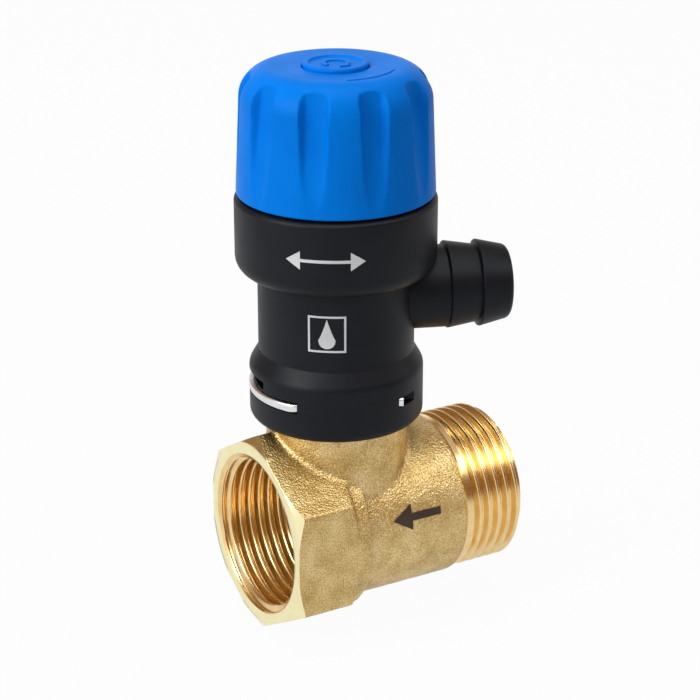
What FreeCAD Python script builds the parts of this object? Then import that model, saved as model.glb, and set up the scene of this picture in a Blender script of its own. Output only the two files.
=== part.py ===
import FreeCAD, Part
import math
import os
import re
import Sketcher

# Combined safety and non-return valve for a water heater, DN20, millimetres.
# Origin at the centre of the female socket's mouth, +X along the run to the inlet, +Z up the branch.
# Heights are measured from the run's axis, and each piece is drawn about the branch's axis.

doc = FreeCAD.newDocument("SafetyCheckValve")

SIZES = {
    # brass tee
    "socket_to_branch": (15.3, "socket mouth to branch axis"),
    "branch_to_inlet": (28.4, "branch axis to inlet end"),
    "hex_wall": (2.94, "wall between the socket and the hexagon's flats"),
    "hex_length": (11.1, "length of the hexagon's flats"),
    "hex_face_margin": (0.3, "turned face beyond the hexagon's flats"),
    "hex_face_chamfer": (1.1, "depth of the turned chamfer at the hexagon's corners"),
    "hex_back_chamfer": (1.4, "depth of the cast chamfer behind the hexagon's corners"),
    "hex_foot": (1.6, "cast slope from the hexagon down to the barrel"),
    "hex_foot_rim": (0.1, "start of that slope above the hexagon's flats"),
    "hex_foot_sink": (0.4, "end of that slope below the barrel's skin"),
    "barrel_step": (1.4, "cast barrel below the hexagon's flats"),
    "socket_radius": (12.06, "minor radius of the 3/4 inch female thread"),
    "socket_depth": (12.0, "depth of the female thread"),
    "socket_lead": (1.44, "lead-in of the female thread"),
    "waterway_step": (3.26, "bore of the run below the socket"),
    "thread_depth": (1.16, "depth of the 3/4 inch thread"),
    "inlet_thread_length": (9.5, "length of the male thread"),
    "inlet_relief_depth": (0.25, "turned band below the male thread"),
    "inlet_relief_width": (1.3, "width of the turned band"),
    "inlet_chamfer": (0.9, "chamfer at the inlet end"),
    "neck_step": (2.2, "branch neck narrower than the barrel"),
    "neck_top": (27.6, "height of the neck"),
    "neck_wall": (1.35, "neck wall under the clip's groove"),
    "neck_fillet": (0.8, "cast fillet at the foot of the neck"),
    "neck_edge_chamfer": (0.6, "lead-in at the top of the neck"),
    "chamber_floor": (14.6, "floor of the relief chamber"),
    "seat_height": (1.4, "relief seat above the chamber floor"),
    "seat_land": (0.8, "width of the relief seat's face"),
    # non-return valve in the inlet bore
    "check_step": (1.4, "bore for the check valve beyond the run's bore"),
    "inlet_lip": (1.5, "inlet bore in front of the snap ring"),
    "check_clearance": (0.05, "check valve parts in their bore"),
    "cage_length": (11.1, "length of the check cage"),
    "cage_wall": (1.15, "wall of the check cage"),
    "cage_rib_width": (1.6, "width of the cage's ribs"),
    "cage_rib_length": (2.0, "length of the cage's ribs and hub along the run"),
    "cage_hub_radius": (2.6, "hub that guides the poppet"),
    "check_seat_length": (5.2, "length of the check seat ring"),
    "check_seat_radius": (6.4, "opening of the check seat ring"),
    "check_seat_chamfer": (1.3, "chamfer on the inlet side of the seat ring"),
    "check_ring_section": (1.6, "section of the seat ring's O-ring"),
    "ring_play": (0.2, "O-rings in their grooves, along the axis"),
    "snap_ring_width": (1.2, "thickness of the snap ring"),
    "snap_ring_depth": (0.9, "snap ring groove below the bore"),
    "snap_ring_radial": (2.0, "radial width of the snap ring"),
    "snap_ring_gap": (5.0, "gap between the snap ring's ends"),
    "poppet_overlap": (1.3, "poppet disc beyond the seat's opening"),
    "poppet_thickness": (1.5, "thickness of the poppet's disc"),
    "poppet_stem_radius": (1.5, "guide stem of the poppet"),
    "poppet_stem_reach": (1.2, "poppet stem past the hub"),
    "poppet_boss_radius": (4.8, "boss that carries the poppet's seal"),
    "poppet_lip": (0.5, "lip that holds the poppet's seal"),
    "poppet_nose": (1.6, "nose of the poppet"),
    "poppet_seal_thickness": (1.1, "thickness of the poppet's seal"),
    "running_clearance": (0.05, "radial play of a sliding stem"),
    "seal_clearance": (0.02, "radial play round a seated ring or disc"),
    "check_wire": (0.6, "wire of the check spring"),
    "check_spring_radius": (3.7, "mean radius of the check spring"),
    "check_spring_turns": (4.0, "turns of the check spring"),
    # cartridge housing
    "outlet_angle": (-20.8, "drain direction from the run, degrees"),
    "neck_clearance": (0.15, "collar and spigot on the neck"),
    "neck_end_play": (0.1, "housing above the neck's end"),
    "collar_reach": (9.0, "collar below the neck's end"),
    "collar_wall": (2.45, "wall of the collar"),
    "collar_height": (9.0, "straight part of the collar"),
    "shoulder_height": (2.6, "shoulder above the collar"),
    "collar_rounding": (1.4, "rounding of the collar's lower edge"),
    "shoulder_rounding": (2.4, "rounding of the collar's shoulder"),
    "body_wall": (3.5, "wall of the housing's body"),
    "body_bore_radius": (9.0, "drain space"),
    "roof_thickness": (1.8, "housing wall over the neck"),
    "spigot_length": (10.1, "spigot inside the neck"),
    "spigot_wall": (1.2, "spigot wall under its O-ring"),
    "neck_ring_section": (1.6, "section of the neck's O-ring"),
    "neck_ring_rise": (3.4, "neck's O-ring above the spigot's end"),
    "cup_floor": (3.3, "cup below the diaphragm's ledge"),
    "cup_wall": (2.4, "wall of the cup"),
    "cup_depth": (9.2, "cup above the diaphragm's ledge"),
    "cup_bore_radius": (13.6, "inside of the cup"),
    "cup_rounding": (2.8, "rounding under the cup"),
    "cup_rim_rounding": (0.8, "rounding of the cup's rim"),
    "ledge_rise": (7.0, "diaphragm's ledge above the drain barb"),
    "barb_level": (39.4, "height of the drain barb"),
    "barb_bore_radius": (4.2, "bore of the drain barb"),
    "barb_root_radius": (6.85, "drain tube before the first ridge"),
    "barb_ridge_rise": (0.2, "ridges above the drain tube"),
    "barb_taper": (0.8, "drop from one ridge to the next"),
    "barb_tip_taper": (1.2, "drop from the last ridge to the end"),
    "barb_first_ridge": (17.6, "branch axis to the first ridge"),
    "barb_pitch": (5.1, "distance between the ridges"),
    "barb_nose": (5.1, "last ridge to the end of the barb"),
    "barb_ridge_rounding": (0.3, "rounding of the ridges"),
    "barb_tip_rounding": (1.0, "rounding of the barb's end"),
    # steel clip, its slot and its windows
    "clip_drop": (3.6, "middle of the clip below the neck's end"),
    "clip_height": (1.2, "thickness of the clip"),
    "clip_width": (1.2, "width of the clip's wire"),
    "clip_bite": (0.8, "middle of a leg below the neck's wall"),
    "clip_leg_reach": (8.4, "end of a leg past the branch axis"),
    "clip_proud": (0.1, "bow beyond the collar"),
    "clip_play": (0.2, "clip in its groove and slots"),
    "slot_angle": (110.0, "opening round the bow, degrees"),
    "slot_height": (1.9, "height of that opening"),
    "notch_angle": (52.0, "higher middle of the opening, degrees"),
    "notch_height": (1.7, "extra height there"),
    # diaphragm, bonnet and spring
    "diaphragm_thickness": (1.2, "rubber of the diaphragm"),
    "cup_clearance": (0.08, "pieces inside the cup"),
    "bonnet_flange": (2.4, "flange of the bonnet"),
    "bonnet_play": (1.4, "bonnet inside the knob"),
    "bonnet_wall": (1.8, "wall of the bonnet"),
    "bonnet_ring_width": (1.2, "thickness of the bonnet's ring"),
    "bonnet_ring_depth": (0.8, "ring groove below the cup's bore"),
    "bonnet_ring_radial": (1.9, "radial width of the bonnet's ring"),
    "bonnet_ring_gap": (6.0, "gap between that ring's ends"),
    "ramp_length": (8.0, "length of a lifting ramp"),
    "ramp_rise": (1.5, "rise of a lifting ramp"),
    "ramp_inset": (0.2, "ramp from the bonnet's inside and outside"),
    "nut_thickness": (3.8, "adjusting nut"),
    "nut_sink": (0.6, "adjusting nut below the bonnet's top"),
    "nut_slot_width": (2.4, "spanner slots of the adjusting nut"),
    "nut_slot_depth": (1.4, "depth of those slots"),
    "spring_wire": (1.7, "wire of the main spring"),
    "spring_radius": (6.9, "mean radius of the main spring"),
    "spring_turns": (5.0, "turns of the main spring"),
    "spring_gap": (0.02, "springs against their seats"),
    # stem
    "stem_radius": (2.5, "lifting stem"),
    "stem_flange_radius": (7.4, "flange under the diaphragm"),
    "stem_flange": (1.4, "thickness of that flange"),
    "holder_play": (1.2, "disc holder inside the spigot"),
    "holder_wall": (0.6, "disc holder round the seat disc"),
    "holder_length": (5.0, "length of the disc holder"),
    "holder_socket": (3.0, "stem inside the disc holder"),
    "seal_margin": (0.2, "rubber seat disc beyond the seat"),
    "seal_thickness": (1.6, "thickness of the seat disc"),
    "seal_pocket": (1.0, "seat disc inside its holder"),
    "plate_play": (0.6, "spring plate inside the bonnet"),
    "plate_thickness": (1.4, "thickness of the spring plate"),
    "lock_nut_flats": (8.0, "diaphragm nut across flats"),
    "lock_nut_thickness": (2.2, "thickness of the diaphragm nut"),
    "knob_washer_play": (0.3, "knob washer in its recess"),
    "knob_washer_thickness": (0.6, "thickness of the knob washer"),
    "screw_head_radius": (3.4, "head of the knob screw"),
    "screw_head_height": (1.6, "height of that head"),
    "screw_radius": (1.4, "shank of the knob screw"),
    "screw_length": (8.0, "shank below the washer"),
    "screw_slot_width": (0.9, "driver slot"),
    "screw_slot_depth": (0.9, "depth of the driver slot"),
    # knob
    "knob_gap": (0.4, "knob above the cup's rim"),
    "knob_height": (20.0, "height of the knob"),
    "knob_inset": (0.32, "knob's lower edge inside the cup's outside"),
    "knob_draft": (0.8, "knob narrower at its top than at its edge"),
    "knob_rounding": (5.0, "rounding of the knob's top"),
    "knob_wall": (3.15, "wall of the knob at its lower edge"),
    "knob_roof": (5.0, "knob above its inside"),
    "knob_boss_radius": (6.5, "boss round the stem"),
    "knob_boss_length": (3.4, "boss below the knob's roof"),
    "knob_recess": (0.9, "washer recess below the centre cap's ledge"),
    "knob_end_play": (0.1, "knob between boss and washer"),
    "knob_phase": (11.5, "direction of the first flute and lug, degrees"),
    "lug_width": (3.2, "lug of the knob round the axis"),
    "lug_height": (4.8, "lug below the knob's roof"),
    "lug_clearance": (0.2, "lugs above the bonnet"),
    "flute_count": (10.0, "flutes of the knob"),
    "flute_radius": (3.2, "radius of a flute"),
    "flute_depth": (1.15, "depth of a flute at its upper end"),
    "flute_foot_depth": (0.15, "depth of a flute at its lower end"),
    "flute_foot": (2.2, "lower end of a flute above the knob's edge"),
    "flute_head": (2.0, "upper end of a flute below the knob's top"),
    "cap_radius": (5.1, "centre cap"),
    "cap_clearance": (0.1, "centre cap in the knob"),
    "cap_step": (0.5, "ledge that the centre cap sits on"),
    "cap_depth": (3.7, "centre cap below the knob's top"),
    "cap_rise": (0.6, "centre cap above the knob's top"),
    "cap_wall": (0.8, "wall of the centre cap"),
    "cap_rounding": (0.4, "rounding of the centre cap"),
}

LUG_COUNT = 3
RIB_COUNT = 4
HEX_SIDES = 6
HALF_SIDE = 180 // HEX_SIDES
TOLERANCE = 0.001
COIL_SEGMENT = 0.25

sheet = doc.addObject("Spreadsheet::Sheet", "Sizes")
for row, (alias, (size, meaning)) in enumerate(SIZES.items(), 1):
    sheet.set(f"A{row}", str(size))
    sheet.setAlias(f"A{row}", alias)
    sheet.set(f"B{row}", "'" + meaning)
doc.recompute()


def bound(text):
    return re.sub(r"[a-z]\w*", lambda m: "Sizes." + m.group() if m.group() in SIZES else m.group(), text)


def number(text):
    return float(sheet.evalExpression(bound(text)))


# Radii and levels that follow from the sizes, as expressions
BEYOND = "1"
NEAR_ALL = "0.95"
HEX_FLAT = "(socket_radius + hex_wall)"
HEX_CORNER = f"({HEX_FLAT} / cos({HALF_SIDE}))"
HEX_FACE = f"({HEX_FLAT} + hex_face_margin)"
BARREL_RADIUS = f"({HEX_FLAT} - barrel_step)"
WATERWAY = "(socket_radius - waterway_step)"
INLET_RADIUS = "(socket_radius + thread_depth)"
RELIEF_RADIUS = f"({INLET_RADIUS} - inlet_relief_depth)"
NECK_RADIUS = f"({BARREL_RADIUS} - neck_step)"
LEG_INNER = f"({NECK_RADIUS} - clip_bite - clip_width / 2)"
LEG_OUTER = f"({NECK_RADIUS} - clip_bite + clip_width / 2)"
CLIP_GROOVE = f"({LEG_INNER} - running_clearance)"
NECK_BORE = f"({CLIP_GROOVE} - neck_wall)"
SEAT_TOP = "(chamber_floor + seat_height)"
CHECK_DEPTH = "(cage_length + check_seat_length + snap_ring_width + inlet_lip)"
CAGE_START = f"(branch_to_inlet - {CHECK_DEPTH})"
CAGE_END = f"({CAGE_START} + cage_length)"
CHECK_BORE = f"({WATERWAY} + check_step)"
CAGE_RADIUS = f"({CHECK_BORE} - check_clearance)"
CAGE_BORE = f"({CAGE_RADIUS} - cage_wall)"
RIB_END = f"({CAGE_START} + cage_rib_length)"
SEAT_RING_END = f"({CAGE_END} + check_seat_length)"
SEAT_RING_MIDDLE = f"({CAGE_END} + check_seat_length / 2)"
SNAP_GROOVE = f"({CHECK_BORE} + snap_ring_depth)"
SNAP_RADIUS = f"({SNAP_GROOVE} - seal_clearance)"
POPPET_RADIUS = "(check_seat_radius + poppet_overlap)"
POPPET_FACE = f"({CAGE_END} - poppet_seal_thickness)"
POPPET_BACK = f"({POPPET_FACE} - poppet_thickness)"
COLLAR_BORE = f"({NECK_RADIUS} + neck_clearance)"
COLLAR_RADIUS = f"({COLLAR_BORE} + collar_wall)"
COLLAR_BOTTOM = "(neck_top - collar_reach)"
COLLAR_SHOULDER = f"({COLLAR_BOTTOM} + collar_height)"
BODY_RADIUS = "(body_bore_radius + body_wall)"
ROOF_UNDER = "(neck_top + neck_end_play)"
ROOF_TOP = f"({ROOF_UNDER} + roof_thickness)"
SPIGOT_END = f"({ROOF_UNDER} - spigot_length)"
SPIGOT_RADIUS = f"({NECK_BORE} - neck_clearance)"
NECK_RING_ROOT = f"({NECK_BORE} - neck_ring_section)"
NECK_RING_LEVEL = f"({SPIGOT_END} + neck_ring_rise)"
SPIGOT_BORE = f"({NECK_RING_ROOT} - spigot_wall)"
HOLDER_RADIUS = f"({SPIGOT_BORE} - holder_play)"
SEAL_RADIUS = f"({HOLDER_RADIUS} - holder_wall)"
SEAT_RADIUS = f"({SEAL_RADIUS} - seal_margin)"
SEAT_BORE = f"({SEAT_RADIUS} - seat_land)"
LEDGE = "(barb_level + ledge_rise)"
CUP_BOTTOM = f"({LEDGE} - cup_floor)"
CUP_TOP = f"({LEDGE} + cup_depth)"
CUP_RADIUS = "(cup_bore_radius + cup_wall)"
CUP_FIT = "(cup_bore_radius - cup_clearance)"
BARB_RIDGE = "(barb_root_radius + barb_ridge_rise)"
BARB_END = "(barb_first_ridge + barb_pitch + barb_nose)"
BOW_OUTER = f"({COLLAR_RADIUS} + clip_proud)"
BOW_INNER = f"({BOW_OUTER} - clip_width)"
CLIP_UNDER = "(neck_top - clip_drop - clip_height / 2)"
SLOT_UNDER = f"({CLIP_UNDER} - clip_play)"
SLOT_LEG = "(clip_height + 2 * clip_play)"
FLANGE_UNDER = f"({LEDGE} + diaphragm_thickness)"
FLANGE_TOP = f"({FLANGE_UNDER} + bonnet_flange)"
RING_TOP = f"({FLANGE_TOP} + bonnet_ring_width)"
RING_RADIUS = "(cup_bore_radius + bonnet_ring_depth - seal_clearance)"
KNOB_BOTTOM = f"({CUP_TOP} + knob_gap)"
KNOB_TOP = f"({KNOB_BOTTOM} + knob_height)"
KNOB_ROOF = f"({KNOB_TOP} - knob_roof)"
CAP_LEDGE = f"({KNOB_TOP} - cap_depth)"
KNOB_FLOOR = f"({CAP_LEDGE} - knob_recess)"
CAP_RECESS = "(cap_radius + cap_clearance)"
WASHER_RECESS = f"({CAP_RECESS} - cap_step)"
STEM_TOP = f"({KNOB_FLOOR} + knob_end_play)"
BONNET_TOP = f"({KNOB_ROOF} - lug_height - lug_clearance)"
KNOB_FOOT = f"({CUP_RADIUS} - knob_inset)"
KNOB_HEAD = f"({KNOB_FOOT} - knob_draft)"
KNOB_BORE = f"({KNOB_FOOT} - knob_wall)"
BONNET_RADIUS = f"({KNOB_BORE} - bonnet_play)"
BONNET_BORE = f"({BONNET_RADIUS} - bonnet_wall)"
RAMP_INNER = f"({BONNET_BORE} + ramp_inset)"
RAMP_WIDTH = "(bonnet_wall - 2 * ramp_inset)"
RAMP_LEAD = f"(asin(ramp_length / 2 / {RAMP_INNER}) + asin(lug_width / 2 / {RAMP_INNER}))"
NUT_TOP = f"({BONNET_TOP} - nut_sink)"
NUT_UNDER = f"({NUT_TOP} - nut_thickness)"
PLATE_TOP = f"({FLANGE_UNDER} + plate_thickness)"
HOLDER_END = f"({SEAT_TOP} + seal_thickness - seal_pocket)"
STEM_END = f"({HOLDER_END} + holder_length - holder_socket)"
STEM_BORE = "(stem_radius + running_clearance)"
STEM_SEAT = "(stem_radius + seal_clearance)"


class Piece:
    # One sub-part: a body about the branch's axis, turned by an angle if it follows the drain or the knob.
    def __init__(self, label, turn=None):
        self.body = doc.addObject("PartDesign::Body", label)
        self.body.Label = label
        self.body.Placement = FreeCAD.Placement(
            FreeCAD.Vector(), FreeCAD.Rotation(FreeCAD.Vector(0, 0, 1), number(turn or "0")))
        self.body.setExpression("Placement.Base.x", bound("socket_to_branch"))
        if turn:
            self.body.setExpression("Placement.Rotation.Angle", bound(turn))
        self.count = 0

    def plane(self, role):
        return next(f for f in self.body.Origin.OriginFeatures if f.Role == role)

    def sketch(self, role, offset=None, lift=None):
        self.count += 1
        made = self.body.newObject("Sketcher::SketchObject", f"{self.body.Name}_sketch_{self.count}")
        made.AttachmentSupport = [(self.plane(role), "")]
        made.MapMode = "FlatFace"
        if lift:
            made.setExpression("AttachmentOffset.Base.y", bound(lift))
        if offset:
            made.setExpression("AttachmentOffset.Base.z", bound(offset))
        return made

    def feature(self, kind, sketch, **settings):
        self.count += 1
        made = self.body.newObject(f"PartDesign::{kind}", f"{self.body.Name}_{kind}_{self.count}")
        made.Profile = sketch
        for name, value in settings.items():
            if isinstance(value, str) and name in ("Length", "Angle"):
                made.setExpression(name, bound(value))
            else:
                setattr(made, name, value)
        doc.recompute()
        return made

    def turned(self, kind, corners, role="XZ_Plane", axis="V_Axis", lift=None, **settings):
        made = self.sketch(role, lift=lift)
        outline(made, corners)
        return self.feature(kind, made, ReferenceAxis=(made, [axis]), **settings)

    def prism(self, kind, draw, length, level=None, role="XY_Plane", **settings):
        made = self.sketch(role, offset=level)
        draw(made)
        return self.feature(kind, made, Length=length, **settings)

    def repeat(self, feature, count, axis_role="Z_Axis"):
        self.count += 1
        made = self.body.newObject("PartDesign::PolarPattern", f"{self.body.Name}_pattern_{self.count}")
        made.Originals = [feature]
        made.Axis = (self.plane(axis_role), [""])
        made.Angle = 360
        if isinstance(count, str):
            made.setExpression("Occurrences", bound(count))
        else:
            made.Occurrences = count
        self.body.Tip = made
        doc.recompute()
        return made


def tie(sketch, kind, geometry, vertex, text):
    # One coordinate of a sketch point, held to an expression or to the sketch's own axis
    if text == "0":
        axis = -2 if kind == "DistanceX" else -1
        sketch.addConstraint(Sketcher.Constraint("PointOnObject", geometry, vertex, axis))
        return
    made = sketch.addConstraint(Sketcher.Constraint(kind, geometry, vertex, number(text)))
    sketch.setExpression(f"Constraints[{made}]", bound(text))


def outline(sketch, corners):
    # A closed outline of straight sides, each corner given as two expressions and, if rounded, a radius
    places = [FreeCAD.Vector(number(c[0]), number(c[1]), 0) for c in corners]
    total = len(corners)
    ends = []
    for i, place in enumerate(places):
        back = (places[i - 1] - place).normalize()
        ahead = (places[(i + 1) % total] - place).normalize()
        if len(corners[i]) == 2:
            ends.append((place, place, None))
            continue
        radius = number(corners[i][2])
        half = back.getAngle(ahead) / 2
        run = radius / math.tan(half)
        middle = place + (back + ahead).normalize() * (radius / math.sin(half))
        ends.append((place + back * run, place + ahead * run, middle))
    sides = []
    for i in range(total):
        sides.append(sketch.addGeometry(Part.LineSegment(ends[i][1], ends[(i + 1) % total][0]), False))
    for i, corner in enumerate(corners):
        before, after = sides[i - 1], sides[i]
        start, stop, middle = ends[i]
        if middle is None:
            sketch.addConstraint(Sketcher.Constraint("Coincident", before, 2, after, 1))
            tie(sketch, "DistanceX", after, 1, corner[0])
            tie(sketch, "DistanceY", after, 1, corner[1])
            continue
        round_corner(sketch, corner, places[i], (before, after), (start, stop, middle))


def round_corner(sketch, corner, place, sides, arc):
    start, stop, middle = arc
    anticlockwise = (start - middle).cross(stop - middle).z > 0
    first, last = (start, stop) if anticlockwise else (stop, start)
    angles = [math.atan2((p - middle).y, (p - middle).x) for p in (first, last)]
    if angles[1] < angles[0]:
        angles[1] += 2 * math.pi
    circle = Part.Circle(middle, FreeCAD.Vector(0, 0, 1), (start - middle).Length)
    bend = sketch.addGeometry(Part.ArcOfCircle(circle, *angles), False)
    point = sketch.addGeometry(Part.Point(place), True)
    sketch.addConstraint(Sketcher.Constraint("Tangent", sides[0], 2, bend, 1 if anticlockwise else 2))
    sketch.addConstraint(Sketcher.Constraint("Tangent", bend, 2 if anticlockwise else 1, sides[1], 1))
    radius = sketch.addConstraint(Sketcher.Constraint("Radius", bend, number(corner[2])))
    sketch.setExpression(f"Constraints[{radius}]", bound(corner[2]))
    for side in sides:
        sketch.addConstraint(Sketcher.Constraint("PointOnObject", point, 1, side))
    tie(sketch, "DistanceX", point, 1, corner[0])
    tie(sketch, "DistanceY", point, 1, corner[1])


def box_outline(left, low, right, high):
    return lambda sketch: outline(sketch, [(left, low), (right, low), (right, high), (left, high)])


def boxes(*limits):
    def draw(sketch):
        for limit in limits:
            box_outline(*limit)(sketch)
    return draw


def circle_at(radius, distance="0"):
    def draw(sketch):
        centre = FreeCAD.Vector(number(distance), 0, 0)
        made = sketch.addGeometry(Part.Circle(centre, FreeCAD.Vector(0, 0, 1), number(radius)), False)
        tie(sketch, "DistanceX", made, 3, distance)
        tie(sketch, "DistanceY", made, 3, "0")
        held = sketch.addConstraint(Sketcher.Constraint("Radius", made, number(radius)))
        sketch.setExpression(f"Constraints[{held}]", bound(radius))
    return draw


def circles(*radii):
    def draw(sketch):
        for radius in radii:
            circle_at(radius)(sketch)
    return draw


def hexagon(corner, phase):
    # A regular hexagon about the sketch's origin, its first corner at the phase in degrees
    corners = []
    for i in range(HEX_SIDES):
        angle = phase + 2 * HALF_SIDE * i
        corners.append([f"{corner} * {side}({angle})" for side in ("cos", "sin")])
    return lambda sketch: outline(sketch, corners)


def foot_edges(shape):
    # Edges where the neck's wall meets the barrel and the hexagon
    radius = number(NECK_RADIUS)
    found = []
    for i, edge in enumerate(shape.Edges, 1):
        spots = [edge.valueAt(p) for p in (edge.FirstParameter, edge.LastParameter)]
        spots.append(edge.valueAt((edge.FirstParameter + edge.LastParameter) / 2))
        round_neck = all(abs(math.hypot(p.x, p.y) - radius) < TOLERANCE for p in spots)
        between = all(TOLERANCE < p.z < number("neck_top") - TOLERANCE for p in spots)
        upright = math.hypot(spots[0].x - spots[1].x, spots[0].y - spots[1].y) < TOLERANCE
        if round_neck and between and (edge.isClosed() or not upright):
            found.append(f"Edge{i}")
    return found


def brass_body():
    tee = Piece("brass_body")
    relief_start = "(branch_to_inlet - inlet_thread_length - inlet_relief_width)"
    thread_start = "(branch_to_inlet - inlet_thread_length)"
    hex_end = "(hex_length - socket_to_branch)"
    foot_rim = f"({HEX_FLAT} + hex_foot_rim)"
    foot_end = f"({BARREL_RADIUS} - hex_foot_sink)"
    foot_length = f"(hex_foot * ({foot_rim} - {foot_end}) / ({foot_rim} - {BARREL_RADIUS}))"
    corner = f"({HEX_CORNER} + {BEYOND})"
    slope = f"(hex_face_chamfer / ({HEX_CORNER} - {HEX_FACE}))"
    back_slope = f"(hex_back_chamfer / ({HEX_CORNER} - {HEX_FLAT}))"
    tee.prism("Pad", hexagon(HEX_CORNER, HALF_SIDE), f"hex_length + {foot_length}", "-socket_to_branch",
              "YZ_Plane")
    tee.turned("Groove", [
        ("-socket_to_branch", HEX_FACE),
        (f"-socket_to_branch + {slope} * ({corner} - {HEX_FACE})", corner),
        ("-socket_to_branch", corner),
    ], axis="H_Axis")
    tee.turned("Groove", [
        (f"{hex_end} + {foot_length}", foot_end),
        (f"{hex_end} + {foot_length}", corner),
        (f"{hex_end} - {back_slope} * ({corner} - {foot_rim})", corner),
        (hex_end, foot_rim),
    ], axis="H_Axis")
    tee.turned("Revolution", [
        ("-socket_to_branch", "0"),
        ("-socket_to_branch", BARREL_RADIUS),
        (f"{relief_start} - {BARREL_RADIUS} + {RELIEF_RADIUS}", BARREL_RADIUS),
        (relief_start, RELIEF_RADIUS),
        (thread_start, RELIEF_RADIUS),
        (f"{thread_start} + inlet_relief_depth", INLET_RADIUS),
        ("branch_to_inlet - inlet_chamfer", INLET_RADIUS),
        ("branch_to_inlet", f"{INLET_RADIUS} - inlet_chamfer"),
        ("branch_to_inlet", "0"),
    ], axis="H_Axis")
    tee.prism("Pad", circle_at(NECK_RADIUS), "neck_top")
    cast = tee.body.Tip
    rounded = tee.body.newObject("PartDesign::Fillet", "neck_foot")
    rounded.Base = (cast, foot_edges(cast.Shape))
    rounded.setExpression("Radius", bound("neck_fillet"))
    doc.recompute()
    groove_start = SEAT_RING_END
    groove_end = f"({SEAT_RING_END} + snap_ring_width)"
    socket_end = "(socket_depth - socket_to_branch)"
    tee.turned("Groove", [
        ("-socket_to_branch", "0"),
        ("-socket_to_branch", "socket_radius + socket_lead"),
        ("-socket_to_branch + socket_lead", "socket_radius"),
        (socket_end, "socket_radius"),
        (f"{socket_end} + waterway_step", WATERWAY),
        (CAGE_START, WATERWAY),
        (CAGE_START, CHECK_BORE),
        (groove_start, CHECK_BORE),
        (groove_start, SNAP_GROOVE),
        (groove_end, SNAP_GROOVE),
        (groove_end, CHECK_BORE),
        ("branch_to_inlet", CHECK_BORE),
        ("branch_to_inlet", "0"),
    ], axis="H_Axis")
    tee.turned("Groove", [
        ("0", "0"),
        (SEAT_BORE, "0"),
        (SEAT_BORE, SEAT_TOP),
        (SEAT_RADIUS, SEAT_TOP),
        (f"{SEAT_RADIUS} + seat_height / 2", "chamber_floor"),
        (NECK_BORE, "chamber_floor"),
        (NECK_BORE, "neck_top - neck_edge_chamfer"),
        (f"{NECK_BORE} + neck_edge_chamfer", "neck_top"),
        ("0", "neck_top"),
    ])
    outside = f"{NECK_RADIUS} + {BEYOND}"
    tee.turned("Groove", [
        (CLIP_GROOVE, SLOT_UNDER),
        (outside, SLOT_UNDER),
        (outside, f"{SLOT_UNDER} + {SLOT_LEG}"),
        (CLIP_GROOVE, f"{SLOT_UNDER} + {SLOT_LEG}"),
    ])
    tee.turned("Groove", [
        (f"{NECK_RADIUS} - neck_edge_chamfer", "neck_top"),
        (NECK_RADIUS, "neck_top - neck_edge_chamfer"),
        (outside, "neck_top - neck_edge_chamfer"),
        (outside, "neck_top"),
    ])
    return tee.body


def check_cage():
    cage = Piece("check_cage")
    cage.turned("Revolution", [
        (CAGE_START, CAGE_BORE),
        (CAGE_START, CAGE_RADIUS),
        (CAGE_END, CAGE_RADIUS),
        (CAGE_END, CAGE_BORE),
    ], axis="H_Axis")
    rib = cage.prism("Pad", box_outline(
        "cage_hub_radius / 2", "-cage_rib_width / 2", f"{CAGE_BORE} + cage_wall / 2", "cage_rib_width / 2"),
        "cage_rib_length", CAGE_START, "YZ_Plane")
    cage.repeat(rib, RIB_COUNT, "X_Axis")
    cage.turned("Revolution", [
        (CAGE_START, "0"),
        (CAGE_START, "cage_hub_radius"),
        (RIB_END, "cage_hub_radius"),
        (RIB_END, "0"),
    ], axis="H_Axis")
    cage.turned("Groove", [
        (CAGE_START, "0"),
        (CAGE_START, "poppet_stem_radius + running_clearance"),
        (RIB_END, "poppet_stem_radius + running_clearance"),
        (RIB_END, "0"),
    ], axis="H_Axis")
    return cage.body


def check_seat():
    ring = Piece("check_seat")
    root = f"({CHECK_BORE} - check_ring_section)"
    half = "(check_ring_section / 2 + ring_play)"
    ring.turned("Revolution", [
        (CAGE_END, "check_seat_radius"),
        (CAGE_END, CAGE_RADIUS),
        (f"{SEAT_RING_MIDDLE} - {half}", CAGE_RADIUS),
        (f"{SEAT_RING_MIDDLE} - {half}", root),
        (f"{SEAT_RING_MIDDLE} + {half}", root),
        (f"{SEAT_RING_MIDDLE} + {half}", CAGE_RADIUS),
        (SEAT_RING_END, CAGE_RADIUS),
        (SEAT_RING_END, "check_seat_radius + check_seat_chamfer"),
        (f"{SEAT_RING_END} - check_seat_chamfer", "check_seat_radius"),
    ], axis="H_Axis")
    return ring.body


def o_ring(label, section, mean_radius, along, upright):
    # A round-section ring, drawn as a torus a little slimmer than its groove
    ring = doc.addObject("Part::Torus", label)
    ring.Label = label
    ring.setExpression("Radius1", bound(mean_radius))
    ring.setExpression("Radius2", bound(f"{section} / 2 - seal_clearance"))
    turn = 0 if upright else 90
    ring.Placement = FreeCAD.Placement(FreeCAD.Vector(), FreeCAD.Rotation(FreeCAD.Vector(0, 1, 0), turn))
    if upright:
        ring.setExpression("Placement.Base.x", bound("socket_to_branch"))
        ring.setExpression("Placement.Base.z", bound(along))
    else:
        ring.setExpression("Placement.Base.x", bound(f"socket_to_branch + {along}"))
    return ring


def snap_ring():
    ring = Piece("snap_ring")
    ring.turned("Revolution", [
        (SEAT_RING_END, f"{SNAP_RADIUS} - snap_ring_radial"),
        (SEAT_RING_END, SNAP_RADIUS),
        (f"{SEAT_RING_END} + snap_ring_width", SNAP_RADIUS),
        (f"{SEAT_RING_END} + snap_ring_width", f"{SNAP_RADIUS} - snap_ring_radial"),
    ], axis="H_Axis")
    ring.prism("Pocket", box_outline("-snap_ring_gap / 2", "0", "snap_ring_gap / 2", SNAP_GROOVE),
               "snap_ring_width", SEAT_RING_END, "YZ_Plane", Reversed=True)
    return ring.body


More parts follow.
